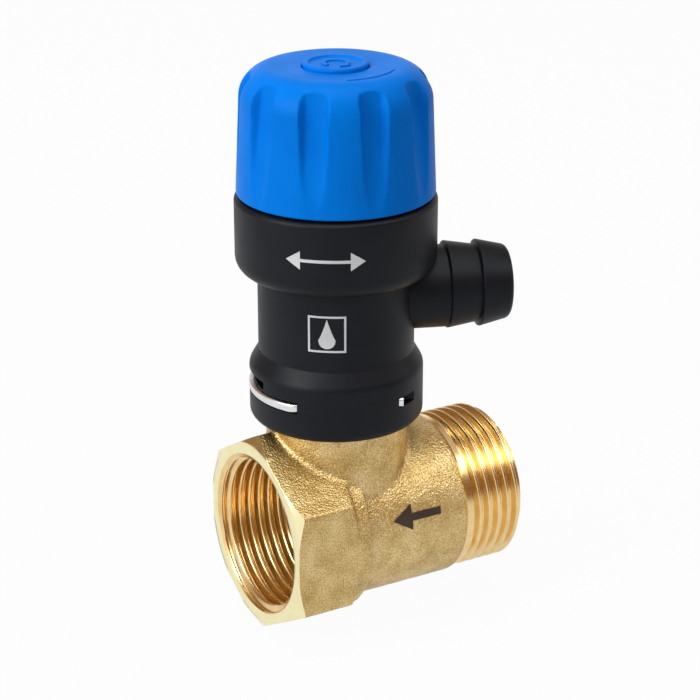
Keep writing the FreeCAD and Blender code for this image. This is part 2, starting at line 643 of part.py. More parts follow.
def check_poppet():
    poppet = Piece("check_poppet")
    poppet.turned("Revolution", [
        (f"{CAGE_START} - poppet_stem_reach", "0"),
        (f"{CAGE_START} - poppet_stem_reach", "poppet_stem_radius"),
        (POPPET_BACK, "poppet_stem_radius"),
        (POPPET_BACK, POPPET_RADIUS),
        (POPPET_FACE, POPPET_RADIUS),
        (POPPET_FACE, "poppet_boss_radius"),
        (f"{CAGE_END} + seal_clearance", "poppet_boss_radius"),
        (f"{CAGE_END} + seal_clearance", "poppet_boss_radius + poppet_lip"),
        (f"{CAGE_END} + poppet_lip", "poppet_boss_radius + poppet_lip"),
        (f"{CAGE_END} + poppet_lip + poppet_nose", "poppet_boss_radius / 2"),
        (f"{CAGE_END} + poppet_lip + poppet_nose", "0"),
    ], axis="H_Axis")
    return poppet.body


def poppet_seal():
    seal = Piece("poppet_seal")
    seal.turned("Revolution", [
        (POPPET_FACE, "poppet_boss_radius + seal_clearance"),
        (POPPET_FACE, POPPET_RADIUS),
        (CAGE_END, POPPET_RADIUS),
        (CAGE_END, "poppet_boss_radius + seal_clearance"),
    ], axis="H_Axis")
    return seal.body


def coil_spring(label, wire, radius, turns, start, length, upright):
    # An open coil between two seats, its wire just clear of both
    spine = doc.addObject("Part::Helix", f"{label}_path")
    spine.SegmentLength = COIL_SEGMENT
    rise = f"({length} - {wire} - 2 * spring_gap)"
    spine.setExpression("Height", bound(rise))
    spine.setExpression("Pitch", bound(f"{rise} / {turns}"))
    spine.setExpression("Radius", bound(radius))
    section = doc.addObject("Part::Circle", f"{label}_wire")
    section.Placement = FreeCAD.Placement(
        FreeCAD.Vector(), FreeCAD.Rotation(FreeCAD.Vector(1, 0, 0), 90))
    section.setExpression("Radius", bound(f"{wire} / 2"))
    section.setExpression("Placement.Base.x", bound(radius))
    doc.recompute()
    coil = doc.addObject("Part::Sweep", label)
    coil.Label = label
    coil.Sections = [section]
    coil.Spine = (spine, [f"Edge{i}" for i in range(1, len(spine.Shape.Edges) + 1)])
    coil.Solid = True
    coil.Frenet = True
    turn = 0 if upright else 90
    coil.Placement = FreeCAD.Placement(FreeCAD.Vector(), FreeCAD.Rotation(FreeCAD.Vector(0, 1, 0), turn))
    first = f"{start} + {wire} / 2 + spring_gap"
    if upright:
        coil.setExpression("Placement.Base.x", bound("socket_to_branch"))
        coil.setExpression("Placement.Base.z", bound(first))
    else:
        coil.setExpression("Placement.Base.x", bound(f"socket_to_branch + {first}"))
    return coil


def valve_housing():
    housing = Piece("valve_housing", "outlet_angle")
    ring_half = "(neck_ring_section / 2 + ring_play)"
    cup_rounding = f"min(cup_rounding; {NEAR_ALL} * ({CUP_RADIUS} - {BODY_RADIUS}))"
    housing.turned("Revolution", [
        (COLLAR_BORE, COLLAR_BOTTOM),
        (COLLAR_RADIUS, COLLAR_BOTTOM, "collar_rounding"),
        (COLLAR_RADIUS, COLLAR_SHOULDER, "shoulder_rounding"),
        (BODY_RADIUS, f"{COLLAR_SHOULDER} + shoulder_height"),
        (BODY_RADIUS, CUP_BOTTOM),
        (CUP_RADIUS, CUP_BOTTOM, cup_rounding),
        (CUP_RADIUS, CUP_TOP, "cup_rim_rounding"),
        ("cup_bore_radius", CUP_TOP),
        ("cup_bore_radius", RING_TOP),
        ("cup_bore_radius + bonnet_ring_depth", RING_TOP),
        ("cup_bore_radius + bonnet_ring_depth", FLANGE_TOP),
        ("cup_bore_radius", FLANGE_TOP),
        ("cup_bore_radius", LEDGE),
        ("body_bore_radius", LEDGE),
        ("body_bore_radius", ROOF_TOP),
        (SPIGOT_BORE, ROOF_TOP),
        (SPIGOT_BORE, SPIGOT_END),
        (SPIGOT_RADIUS, SPIGOT_END),
        (SPIGOT_RADIUS, f"{NECK_RING_LEVEL} - {ring_half}"),
        (NECK_RING_ROOT, f"{NECK_RING_LEVEL} - {ring_half}"),
        (NECK_RING_ROOT, f"{NECK_RING_LEVEL} + {ring_half}"),
        (SPIGOT_RADIUS, f"{NECK_RING_LEVEL} + {ring_half}"),
        (SPIGOT_RADIUS, ROOF_UNDER),
        (COLLAR_BORE, ROOF_UNDER),
    ])
    flank = f"sqrt({BODY_RADIUS} * {BODY_RADIUS} - barb_root_radius * barb_root_radius)"
    root = f"((body_bore_radius + {flank}) / 2)"
    second = "(barb_first_ridge + barb_pitch)"
    housing.turned("Revolution", [
        (root, "0"),
        (root, "barb_root_radius"),
        ("barb_first_ridge - barb_ridge_rounding", "barb_root_radius"),
        ("barb_first_ridge", BARB_RIDGE, "barb_ridge_rounding"),
        (f"{second} - barb_ridge_rounding", f"{BARB_RIDGE} - barb_taper"),
        (second, BARB_RIDGE, "barb_ridge_rounding"),
        (BARB_END, f"{BARB_RIDGE} - barb_tip_taper", "barb_tip_rounding"),
        (BARB_END, "0"),
    ], axis="H_Axis", lift="barb_level")
    housing.turned("Groove", [
        ("body_bore_radius / 2", "0"),
        ("body_bore_radius / 2", "barb_bore_radius"),
        (BARB_END, "barb_bore_radius"),
        (BARB_END, "0"),
    ], axis="H_Axis", lift="barb_level")
    inner = NECK_RADIUS
    outer = f"({COLLAR_RADIUS} + {BEYOND})"
    slot_top = f"({SLOT_UNDER} + slot_height)"
    for low, high, angle in ((SLOT_UNDER, slot_top, "slot_angle"),
                             (slot_top, f"{slot_top} + notch_height", "notch_angle")):
        housing.turned("Groove", [
            (f"-{inner}", low), (f"-{outer}", low), (f"-{outer}", high), (f"-{inner}", high),
        ], Angle=angle, Midplane=True)
    near = f"{LEG_INNER} - clip_play / 2"
    far = f"{LEG_OUTER} + clip_play / 2"
    housing.prism("Pocket", boxes(
        (f"-{BOW_INNER}", near, outer, far), (f"-{BOW_INNER}", f"-({far})", outer, f"-({near})")),
        SLOT_LEG, SLOT_UNDER, Reversed=True)
    return housing.body


def retaining_clip():
    clip = Piece("retaining_clip", "outlet_angle")
    clip.prism("Pad", circles(BOW_OUTER, BOW_INNER), "clip_height", CLIP_UNDER)
    bend = f"sqrt({BOW_OUTER} * {BOW_OUTER} - {LEG_OUTER} * {LEG_OUTER})"
    clip.prism("Pocket", box_outline(f"-{bend}", f"-{BOW_OUTER}", BOW_OUTER, BOW_OUTER),
               "clip_height", CLIP_UNDER, Reversed=True)
    clip.prism("Pad", boxes((f"-{bend}", LEG_INNER, "clip_leg_reach", LEG_OUTER),
                            (f"-{bend}", f"-{LEG_OUTER}", "clip_leg_reach", f"-{LEG_INNER}")),
               "clip_height", CLIP_UNDER)
    return clip.body


def diaphragm():
    rubber = Piece("diaphragm")
    rubber.turned("Revolution", [
        (STEM_BORE, LEDGE),
        (CUP_FIT, LEDGE),
        (CUP_FIT, FLANGE_UNDER),
        (STEM_BORE, FLANGE_UNDER),
    ])
    return rubber.body


def spring_bonnet():
    bonnet = Piece("spring_bonnet", f"knob_phase * 1 deg + {RAMP_LEAD}")
    bonnet.turned("Revolution", [
        (BONNET_BORE, FLANGE_UNDER),
        (CUP_FIT, FLANGE_UNDER),
        (CUP_FIT, FLANGE_TOP),
        (BONNET_RADIUS, FLANGE_TOP),
        (BONNET_RADIUS, BONNET_TOP),
        (BONNET_BORE, BONNET_TOP),
    ])
    foot = f"({BONNET_TOP} - {RAMP_WIDTH})"
    ramp = bonnet.prism("Pad", lambda sketch: outline(sketch, [
        ("-ramp_length / 2", foot),
        ("ramp_length / 2", foot),
        ("ramp_length / 2", f"{BONNET_TOP} + ramp_rise"),
        ("-ramp_length / 2", BONNET_TOP),
    ]), RAMP_WIDTH, RAMP_INNER, "YZ_Plane")
    bonnet.repeat(ramp, LUG_COUNT)
    return bonnet.body


def bonnet_ring():
    ring = Piece("bonnet_ring", "outlet_angle")
    ring.turned("Revolution", [
        (f"{RING_RADIUS} - bonnet_ring_radial", FLANGE_TOP),
        (RING_RADIUS, FLANGE_TOP),
        (RING_RADIUS, RING_TOP),
        (f"{RING_RADIUS} - bonnet_ring_radial", RING_TOP),
    ])
    ring.prism("Pocket", box_outline(f"-{CUP_RADIUS}", "-bonnet_ring_gap / 2", "0", "bonnet_ring_gap / 2"),
               "bonnet_ring_width", FLANGE_TOP, Reversed=True)
    return ring.body


def adjusting_nut():
    nut = Piece("adjusting_nut", "outlet_angle")
    rim = f"({BONNET_BORE} - running_clearance)"
    nut.turned("Revolution", [
        (STEM_BORE, NUT_UNDER),
        (rim, NUT_UNDER),
        (rim, NUT_TOP),
        (STEM_BORE, NUT_TOP),
    ])
    nut.prism("Pocket", box_outline(
        f"-{BONNET_BORE}", "-nut_slot_width / 2", BONNET_BORE, "nut_slot_width / 2"),
        "nut_slot_depth", NUT_TOP)
    return nut.body


def lift_stem():
    stem = Piece("lift_stem")
    stem.turned("Revolution", [
        ("0", STEM_END),
        ("stem_radius", STEM_END),
        ("stem_radius", f"{LEDGE} - stem_flange"),
        ("stem_flange_radius", f"{LEDGE} - stem_flange"),
        ("stem_flange_radius", LEDGE),
        ("stem_radius", LEDGE),
        ("stem_radius", STEM_TOP),
        ("screw_radius + seal_clearance", STEM_TOP),
        ("screw_radius + seal_clearance", f"{STEM_TOP} - screw_length"),
        ("0", f"{STEM_TOP} - screw_length"),
    ])
    return stem.body


def disc_holder():
    holder = Piece("disc_holder")
    top = f"({HOLDER_END} + holder_length)"
    holder.turned("Revolution", [
        ("0", f"{HOLDER_END} + seal_pocket"),
        (f"{SEAL_RADIUS} + seal_clearance", f"{HOLDER_END} + seal_pocket"),
        (f"{SEAL_RADIUS} + seal_clearance", HOLDER_END),
        (HOLDER_RADIUS, HOLDER_END),
        (HOLDER_RADIUS, f"{top} - holder_socket / 2"),
        (f"({HOLDER_RADIUS} + stem_radius) / 2", top),
        (STEM_SEAT, top),
        (STEM_SEAT, STEM_END),
        ("0", STEM_END),
    ])
    return holder.body


def seat_seal():
    seal = Piece("seat_seal")
    seal.prism("Pad", circle_at(SEAL_RADIUS), "seal_thickness", SEAT_TOP)
    return seal.body


def spring_plate():
    plate = Piece("spring_plate")
    plate.prism("Pad", circles(f"{BONNET_BORE} - plate_play", STEM_SEAT), "plate_thickness", FLANGE_UNDER)
    return plate.body


def diaphragm_nut():
    nut = Piece("diaphragm_nut")
    nut.prism("Pad", hexagon(f"lock_nut_flats / 2 / cos({HALF_SIDE})", 0), "lock_nut_thickness", PLATE_TOP)
    nut.prism("Pocket", circle_at(STEM_SEAT), "lock_nut_thickness", PLATE_TOP, Reversed=True)
    return nut.body


def knob_washer():
    washer = Piece("knob_washer")
    washer.prism("Pad", circles(f"{WASHER_RECESS} - knob_washer_play", "screw_radius + seal_clearance"),
                 "knob_washer_thickness", STEM_TOP)
    return washer.body


def knob_screw():
    screw = Piece("knob_screw")
    under = f"({STEM_TOP} + knob_washer_thickness)"
    top = f"({under} + screw_head_height)"
    screw.turned("Revolution", [
        ("0", f"{STEM_TOP} - screw_length + seal_clearance"),
        ("screw_radius", f"{STEM_TOP} - screw_length + seal_clearance"),
        ("screw_radius", under),
        ("screw_head_radius", under),
        ("screw_head_radius", top, "screw_head_height / 2"),
        ("0", top),
    ])
    screw.prism("Pocket", box_outline("-screw_head_radius", "-screw_slot_width / 2",
                                      "screw_head_radius", "screw_slot_width / 2"),
                "screw_slot_depth", top)
    return screw.body


def control_knob():
    knob = Piece("control_knob", "knob_phase")
    knob.turned("Revolution", [
        (KNOB_BORE, KNOB_BOTTOM),
        (KNOB_FOOT, KNOB_BOTTOM),
        (KNOB_HEAD, KNOB_TOP, "knob_rounding"),
        (CAP_RECESS, KNOB_TOP),
        (CAP_RECESS, CAP_LEDGE),
        (WASHER_RECESS, CAP_LEDGE),
        (WASHER_RECESS, KNOB_FLOOR),
        (STEM_BORE, KNOB_FLOOR),
        (STEM_BORE, f"{KNOB_ROOF} - knob_boss_length"),
        ("knob_boss_radius", f"{KNOB_ROOF} - knob_boss_length"),
        ("knob_boss_radius", KNOB_ROOF),
        (KNOB_BORE, KNOB_ROOF),
    ])
    lug = knob.prism("Pad", box_outline(
        RAMP_INNER, "-lug_width / 2", f"{RAMP_INNER} + {RAMP_WIDTH}", "lug_width / 2"),
        "lug_height + ramp_inset", f"{KNOB_ROOF} - lug_height")
    knob.repeat(lug, LUG_COUNT)
    foot = knob.sketch("XY_Plane", f"{KNOB_BOTTOM} + flute_foot")
    circle_at("flute_radius", f"{KNOB_FOOT} - flute_foot_depth + flute_radius")(foot)
    head = knob.sketch("XY_Plane", f"{KNOB_TOP} - flute_head")
    circle_at("flute_radius", f"{KNOB_HEAD} - flute_depth + flute_radius")(head)
    flute = knob.feature("SubtractiveLoft", foot, Sections=[head])
    knob.repeat(flute, "flute_count")
    return knob.body


def knob_cap():
    cap = Piece("knob_cap", "knob_phase")
    top = f"({KNOB_TOP} + cap_rise)"
    cap.turned("Revolution", [
        ("0", f"{KNOB_TOP} + cap_rise - 2 * cap_wall"),
        ("cap_radius - cap_wall", f"{KNOB_TOP} + cap_rise - 2 * cap_wall"),
        ("cap_radius - cap_wall", CAP_LEDGE),
        ("cap_radius", CAP_LEDGE),
        ("cap_radius", top, "cap_rounding"),
        ("0", top),
    ])
    return cap.body


PIECES = [
    brass_body(),
    check_cage(),
    check_seat(),
    o_ring("check_o_ring", "check_ring_section", f"{CHECK_BORE} - check_ring_section / 2",
           SEAT_RING_MIDDLE, False),
    snap_ring(),
    coil_spring("check_spring", "check_wire", "check_spring_radius", "check_spring_turns",
                RIB_END, f"({POPPET_BACK} - {RIB_END})", False),
    check_poppet(),
    poppet_seal(),
    valve_housing(),
    retaining_clip(),
    o_ring("neck_o_ring", "neck_ring_section", f"{NECK_BORE} - neck_ring_section / 2", NECK_RING_LEVEL, True),
    diaphragm(),
    spring_bonnet(),
    bonnet_ring(),
    adjusting_nut(),
    coil_spring("main_spring", "spring_wire", "spring_radius", "spring_turns",
                PLATE_TOP, f"({NUT_UNDER} - {PLATE_TOP})", True),
    lift_stem(),
    disc_holder(),
    seat_seal(),
    spring_plate(),
    diaphragm_nut(),
    knob_washer(),
    knob_screw(),
    control_knob(),
    knob_cap(),
]

doc.recompute()
for item in doc.Objects:
    if "Invalid" in item.State or "Error" in item.State:
        raise RuntimeError(f"{item.Label} did not build: {item.State}")
for piece in PIECES:
    if piece.Shape.isNull() or not piece.Shape.isValid() or len(piece.Shape.Solids) != 1:
        raise RuntimeError(f"{piece.Label} is not one sound solid")

os.makedirs("parts", exist_ok=True)
for piece in PIECES:
    piece.Shape.exportStep(f"parts/{piece.Label}.step")
    box = piece.Shape.BoundBox
    print(f"{piece.Label}: {piece.Shape.Volume:.1f} mm3, x {box.XMin:.2f} to {box.XMax:.2f}, "
          f"y {box.YMin:.2f} to {box.YMax:.2f}, z {box.ZMin:.2f} to {box.ZMax:.2f}")
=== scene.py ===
import math

import bmesh
import bpy
from mathutils import Matrix, Vector, noise


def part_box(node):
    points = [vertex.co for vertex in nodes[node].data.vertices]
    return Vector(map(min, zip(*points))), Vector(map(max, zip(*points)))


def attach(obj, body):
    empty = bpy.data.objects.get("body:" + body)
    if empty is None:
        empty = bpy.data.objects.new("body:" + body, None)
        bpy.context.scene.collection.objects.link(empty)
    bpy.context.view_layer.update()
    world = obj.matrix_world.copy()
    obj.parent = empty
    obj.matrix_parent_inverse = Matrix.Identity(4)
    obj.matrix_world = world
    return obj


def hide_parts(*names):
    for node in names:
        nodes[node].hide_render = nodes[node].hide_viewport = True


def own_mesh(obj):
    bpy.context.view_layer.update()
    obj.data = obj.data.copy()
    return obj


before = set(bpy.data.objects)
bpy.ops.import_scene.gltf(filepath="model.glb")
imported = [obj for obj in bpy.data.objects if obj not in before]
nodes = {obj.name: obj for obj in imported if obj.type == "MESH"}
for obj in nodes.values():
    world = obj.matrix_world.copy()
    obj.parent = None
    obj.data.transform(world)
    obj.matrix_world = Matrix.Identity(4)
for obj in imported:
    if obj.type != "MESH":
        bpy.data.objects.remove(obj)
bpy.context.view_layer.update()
mm = 0.001
branchX = 15.3  # branch axis along the run, mm
drainTurn = math.radians(-20.8)
print("frame:", len(nodes), "nodes")


# small tools

def newPiece(name, data):
    piece = bpy.data.objects.new(name, data)
    bpy.context.scene.collection.objects.link(piece)
    return piece


def faceOutward(mesh):
    work = bmesh.new()
    work.from_mesh(mesh)
    bmesh.ops.remove_doubles(work, verts=work.verts, dist=1e-7)
    bmesh.ops.recalc_face_normals(work, faces=work.faces)
    work.to_mesh(mesh)
    work.free()


def meshFrom(name, points, faces):
    # points in mm
    mesh = bpy.data.meshes.new(name)
    mesh.from_pydata([Vector(p) * mm for p in points], [], faces)
    mesh.update()
    return mesh


def smoothSkin(mesh, angle=32):
    mesh.shade_smooth()
    mesh.set_sharp_from_angle(angle=math.radians(angle))


def settle(piece):
    # bakes the modifiers into a plain mesh
    graph = bpy.context.evaluated_depsgraph_get()
    done = bpy.data.meshes.new_from_object(piece.evaluated_get(graph))
    piece.modifiers.clear()
    piece.data = done
    return done


def boolean(piece, other, how):
    step = piece.modifiers.new(how, "BOOLEAN")
    step.operation = how
    step.solver = "EXACT"
    step.object = other
    settle(piece)
    bpy.data.objects.remove(other)


def softLine(corners, arcSteps=6):
    # (radius, height[, rounding]) corners of a closed line, mm
    line = []
    for i, corner in enumerate(corners):
        here = Vector(corner[:2])
        rounding = corner[2] if len(corner) > 2 else 0
        if not rounding:
            line.append(here)
            continue
        back = (Vector(corners[i - 1][:2]) - here).normalized()
        ahead = (Vector(corners[(i + 1) % len(corners)][:2]) - here).normalized()
        half = back.angle(ahead) / 2
        centre = here + (back + ahead).normalized() * rounding / math.sin(half)
        first = here + back * rounding / math.tan(half) - centre
        last = here + ahead * rounding / math.tan(half) - centre
        start = math.atan2(first.y, first.x)
        sweep = (math.atan2(last.y, last.x) - start + math.pi) % (2 * math.pi) - math.pi
        for k in range(arcSteps + 1):
            turn = start + sweep * k / arcSteps
            line.append(centre + Vector((math.cos(turn), math.sin(turn))) * rounding)
    return line


def upright(radius, turn, height):
    return Vector((branchX + radius * math.cos(turn), radius * math.sin(turn), height))


def alongRun(radius, turn, height):
    return Vector((height, radius * math.cos(turn), radius * math.sin(turn)))


def swung(turn):
    # puts (u, v, w) in directions turned about the branch axis, mm
    def put(u, v, w):
        return Vector((branchX + u * math.cos(turn) - v * math.sin(turn),
                       u * math.sin(turn) + v * math.cos(turn), w))
    return put


def arcOf(radius, turns):
    return [(radius * math.cos(turn), radius * math.sin(turn)) for turn in turns]


def lathe(name, line, steps, place):
    # closed line of (radius, height) turned round an axis; a point on the axis becomes a pole
    points, rings, faces = [], [], []
    for radius, height in line:
        if radius < 1e-6:
            rings.append([len(points)] * steps)
            points.append(place(0, 0, height))
        else:
            rings.append(list(range(len(points), len(points) + steps)))
            points += [place(radius, 2 * math.pi * k / steps, height) for k in range(steps)]
    for low, high in zip(rings, rings[1:] + rings[:1]):
        for k in range(steps):
            n = (k + 1) % steps
            face = list(dict.fromkeys([low[k], low[n], high[n], high[k]]))
            if len(face) > 2:
                faces.append(face)
    mesh = meshFrom(name, points, faces)
    faceOutward(mesh)
    return mesh


def prism(name, outline, low, high, place):
    # flat outline raised from low to high; place(u, v, w) puts a point, mm
    count = len(outline)
    points = [place(u, v, low) for u, v in outline] + [place(u, v, high) for u, v in outline]
    faces = [list(range(count)), list(range(count, 2 * count))]
    faces += [[k, (k + 1) % count, count + (k + 1) % count, count + k] for k in range(count)]
    mesh = meshFrom(name, points, faces)
    faceOutward(mesh)
    return mesh


def joinMeshes(name, meshes):
    work = bmesh.new()
    for mesh in meshes:
        work.from_mesh(mesh)
    joined = bpy.data.meshes.new(name)
    work.to_mesh(joined)
    work.free()
    return joined


def addNode(tree, kind, settings, inputs):
    node = tree.nodes.new(kind)
    for key, value in settings.items():
        setattr(node, key, value)
    for key, value in inputs.items():
        if isinstance(value, bpy.types.NodeSocket):
            tree.links.new(value, node.inputs[key])
        else:
            node.inputs[key].default_value = value
    return node


def calc(tree, operation, *values):
    return addNode(tree, "ShaderNodeMath", {"operation": operation}, dict(enumerate(values))).outputs[0]


def spread(tree, value, fromLow, fromHigh, toLow, toHigh, kind="LINEAR"):
    return addNode(tree, "ShaderNodeMapRange", {"interpolation_type": kind}, {
        "Value": value, "From Min": fromLow, "From Max": fromHigh,
        "To Min": toLow, "To Max": toHigh}).outputs["Result"]


def newRule(name, sizes):
    # a geometry tree with named inputs for its sizes
    tree = bpy.data.node_groups.new(name, "GeometryNodeTree")
    tree.interface.new_socket("Geometry", in_out="INPUT", socket_type="NodeSocketGeometry")
    for label in sizes:
        tree.interface.new_socket(label, in_out="INPUT", socket_type="NodeSocketFloat")
    tree.interface.new_socket("Material", in_out="INPUT", socket_type="NodeSocketMaterial")
    tree.interface.new_socket("Geometry", in_out="OUTPUT", socket_type="NodeSocketGeometry")
    return tree, tree.nodes.new("NodeGroupInput").outputs, tree.nodes.new("NodeGroupOutput").inputs


def runRule(piece, tree, values):
    step = piece.modifiers.new(tree.name, "NODES")
    step.node_group = tree
    for socket in tree.interface.items_tree:
        if socket.in_out == "INPUT" and socket.name in values:
            step[socket.identifier] = values[socket.name]
    return settle(piece)


# finishes, all on object coordinates in metres

def newFinish(name, settings):
    finish = bpy.data.materials.new(name)
    finish.use_nodes = True
    tree = finish.node_tree
    skin = tree.nodes["Principled BSDF"]
    for key, value in settings.items():
        skin.inputs[key].default_value = value
    where = addNode(tree, "ShaderNodeTexCoord", {}, {}).outputs["Object"]
    return finish, tree, skin, where


def grain(tree, where, scale, detail=3, roughness=0.5):
    return addNode(tree, "ShaderNodeTexNoise", {}, {
        "Vector": where, "Scale": scale, "Detail": detail, "Roughness": roughness}).outputs["Fac"]


def tint(tree, amount, stops):
    ramp = addNode(tree, "ShaderNodeValToRGB", {}, {"Fac": amount})
    marks = ramp.color_ramp.elements
    while len(marks) < len(stops):
        marks.new(0.5)
    for mark, (place, colour) in zip(marks, stops):
        mark.position = place
        mark.color = (*colour, 1)
    return ramp.outputs["Color"]


def relief(tree, height, strength, distance, normal=None):
    inputs = {"Height": height, "Strength": strength, "Distance": distance}
    if normal:
        inputs["Normal"] = normal
    return addNode(tree, "ShaderNodeBump", {}, inputs).outputs["Normal"]


def join(tree, skin, **sockets):
    for key, value in sockets.items():
        tree.links.new(value, skin.inputs[key.replace("_", " ")])


def castBrassFinish():
    finish, tree, skin, where = newFinish("castBrass", {"Metallic": 1.0})
    coarse = grain(tree, where, 260, 3)
    pebble = addNode(tree, "ShaderNodeTexVoronoi", {"feature": "SMOOTH_F1"}, {
        "Vector": where, "Scale": 2900, "Smoothness": 0.5}).outputs["Distance"]
    fine = grain(tree, where, 4200, 3, 0.62)
    mixed = calc(tree, "MULTIPLY_ADD", fine, 0.75, calc(tree, "MULTIPLY", coarse, 0.35))
    colour = tint(tree, mixed, [(0.40, (0.43, 0.275, 0.09)), (0.55, (0.665, 0.475, 0.19)),
                                (0.70, (0.90, 0.73, 0.41))])
    # painted shade: ambient occlusion darkens the brass colour in creases and hollows
    hollow = addNode(tree, "ShaderNodeAmbientOcclusion", {"only_local": True, "samples": 8}, {
        "Distance": 0.004}).outputs["AO"]
    paintedCreaseShade = spread(tree, hollow, 0.5, 0.92, 0.35, 1.0)  # painted shade: darker in the creases, where ambient occlusion falls
    colour = addNode(tree, "ShaderNodeVectorMath", {"operation": "SCALE"}, {
        "Vector": colour, "Scale": paintedCreaseShade}).outputs["Vector"]
    rough = spread(tree, fine, 0.3, 0.7, 0.50, 0.34)
    bumpy = relief(tree, coarse, 0.25, 0.0004)
    bumpy = relief(tree, pebble, 0.8, 0.00012, bumpy)
    bumpy = relief(tree, fine, 0.75, 0.00009, bumpy)
    join(tree, skin, Base_Color=colour, Roughness=rough, Normal=bumpy)
    return finish


def turnedBrassFinish(name, low, high):
    finish, tree, skin, where = newFinish(name, {"Metallic": 1.0})
    parts = addNode(tree, "ShaderNodeSeparateXYZ", {}, {"Vector": where}).outputs
    radius = calc(tree, "SQRT", calc(tree, "MULTIPLY_ADD", parts["Y"], parts["Y"],
                                     calc(tree, "MULTIPLY", parts["Z"], parts["Z"])))
    lines = addNode(tree, "ShaderNodeCombineXYZ", {}, {"X": parts["X"], "Y": radius}).outputs["Vector"]
    tool = grain(tree, lines, 7000, 2)
    bloom = grain(tree, where, 420, 4)
    colour = tint(tree, bloom, [(0.3, low), (0.7, high)])
    rough = spread(tree, bloom, 0.3, 0.7, 0.27, 0.19)
    join(tree, skin, Base_Color=colour, Roughness=rough, Normal=relief(tree, tool, 0.16, 0.00002))
    return finish


def mouldedFinish(name, low, high, roughLow, roughHigh, settings=None, texture=0.12):
    # spark-eroded mould texture with slight flow clouds
    finish, tree, skin, where = newFinish(name, settings or {})
    cloud = grain(tree, where, 160, 3)
    fine = grain(tree, where, 7500, 2)
    join(tree, skin, Base_Color=tint(tree, cloud, [(0.3, low), (0.7, high)]),
         Roughness=spread(tree, cloud, 0.3, 0.7, roughLow, roughHigh),
         Normal=relief(tree, fine, texture, 0.00003))
    return finish


def drawnSteelFinish():
    finish, tree, skin, where = newFinish("drawnSteel", {"Metallic": 1.0})
    streak = grain(tree, addNode(tree, "ShaderNodeMapping", {}, {
        "Vector": where, "Scale": (900, 900, 9000)}).outputs["Vector"], 1.0, 3)
    join(tree, skin, Base_Color=tint(tree, streak, [(0.3, (0.72, 0.73, 0.74)), (0.7, (0.88, 0.88, 0.88))]),
         Roughness=spread(tree, streak, 0.3, 0.7, 0.34, 0.22), Normal=relief(tree, streak, 0.1, 0.00002))
    return finish


castBrass = castBrassFinish()
turnedBrass = turnedBrassFinish("turnedBrass", (0.85, 0.60, 0.27), (0.94, 0.71, 0.37))
# the front face is turned brass painted paler: painted highlight of the light from the left
facedBrassPaintedHighlight = turnedBrassFinish("facedBrassPaintedHighlight", (0.97, 0.86, 0.48), (1.0, 0.93, 0.58))
blackPlastic = mouldedFinish("blackPlastic", (0.0048, 0.0060, 0.0092), (0.0074, 0.0088, 0.0126), 0.48, 0.42,
                             {"Specular IOR Level": 0.17})
bluePlastic = mouldedFinish("bluePlastic", (0.0, 0.170, 0.68), (0.0, 0.192, 0.75), 0.44, 0.38,
                            {"Specular IOR Level": 0.04})
whitePlastic = mouldedFinish("whitePlastic", (0.70, 0.70, 0.67), (0.78, 0.78, 0.75), 0.42, 0.36)
blackRubber = mouldedFinish("blackRubber", (0.012, 0.012, 0.013), (0.022, 0.022, 0.023), 0.72, 0.62,
                            texture=0.3)
drawnSteel = drawnSteelFinish()
whitePrint = mouldedFinish("whitePrint", (0.60, 0.61, 0.62), (0.68, 0.69, 0.70), 0.62, 0.55)
etchedBrass = mouldedFinish("etchedBrass", (0.030, 0.018, 0.009), (0.055, 0.033, 0.015), 0.62, 0.50,
                            texture=0.4)
print("finishes made")


# brass tee: cast skin, turned socket and turned inlet end

thread = {"pitch": 1.814, "depth": 1.16, "minor": 12.06, "crest": 13.22}


def threadRule():
    tree, given, result = newRule("threadRule", ["Pitch", "Depth", "Reference", "Side"])
    parts = addNode(tree, "ShaderNodeSeparateXYZ", {}, {
        "Vector": addNode(tree, "GeometryNodeInputPosition", {}, {}).outputs[0]}).outputs
    radius = calc(tree, "SQRT", calc(tree, "MULTIPLY_ADD", parts["Y"], parts["Y"],
                                     calc(tree, "MULTIPLY", parts["Z"], parts["Z"])))
    turn = calc(tree, "DIVIDE", calc(tree, "ARCTAN2", parts["Z"], parts["Y"]), 2 * math.pi)
    phase = calc(tree, "SUBTRACT", calc(tree, "DIVIDE", parts["X"], given["Pitch"]), turn)
    wave = calc(tree, "MULTIPLY", calc(tree, "PINGPONG", phase, 0.5), 2.0)
    shape = spread(tree, wave, 0.08, 0.94, 0.0, 1.0, "SMOOTHSTEP")
    mask = addNode(tree, "GeometryNodeInputNamedAttribute", {"data_type": "FLOAT"}, {"Name": "threadMask"})
    cut = calc(tree, "MULTIPLY", calc(tree, "MULTIPLY", shape, given["Depth"]), mask.outputs["Attribute"])
    goal = calc(tree, "SUBTRACT", given["Reference"], calc(tree, "MULTIPLY", given["Side"], cut))
    nearer = calc(tree, "MINIMUM", calc(tree, "MULTIPLY", given["Side"], radius),
                  calc(tree, "MULTIPLY", given["Side"], goal))
    kept = calc(tree, "MULTIPLY", given["Side"], nearer)
    ratio = calc(tree, "DIVIDE", kept, radius)
    there = addNode(tree, "ShaderNodeCombineXYZ", {}, {
        "X": parts["X"], "Y": calc(tree, "MULTIPLY", parts["Y"], ratio),
        "Z": calc(tree, "MULTIPLY", parts["Z"], ratio)}).outputs["Vector"]
    moved = addNode(tree, "GeometryNodeSetPosition", {}, {
        "Geometry": given["Geometry"], "Position": there,
        "Selection": calc(tree, "GREATER_THAN", mask.outputs["Attribute"], 0.0001)}).outputs[0]
    whole = addNode(tree, "GeometryNodeRealizeInstances", {}, {"Geometry": moved}).outputs[0]
    turned = addNode(tree, "GeometryNodeInputNamedAttribute", {"data_type": "BOOLEAN"}, {"Name": "turned"})
    dressed = addNode(tree, "GeometryNodeSetMaterial", {}, {
        "Geometry": whole, "Material": given["Material"],
        "Selection": turned.outputs["Attribute"]}).outputs[0]
    tree.links.new(dressed, result["Geometry"])
    return tree


cutThread = threadRule()


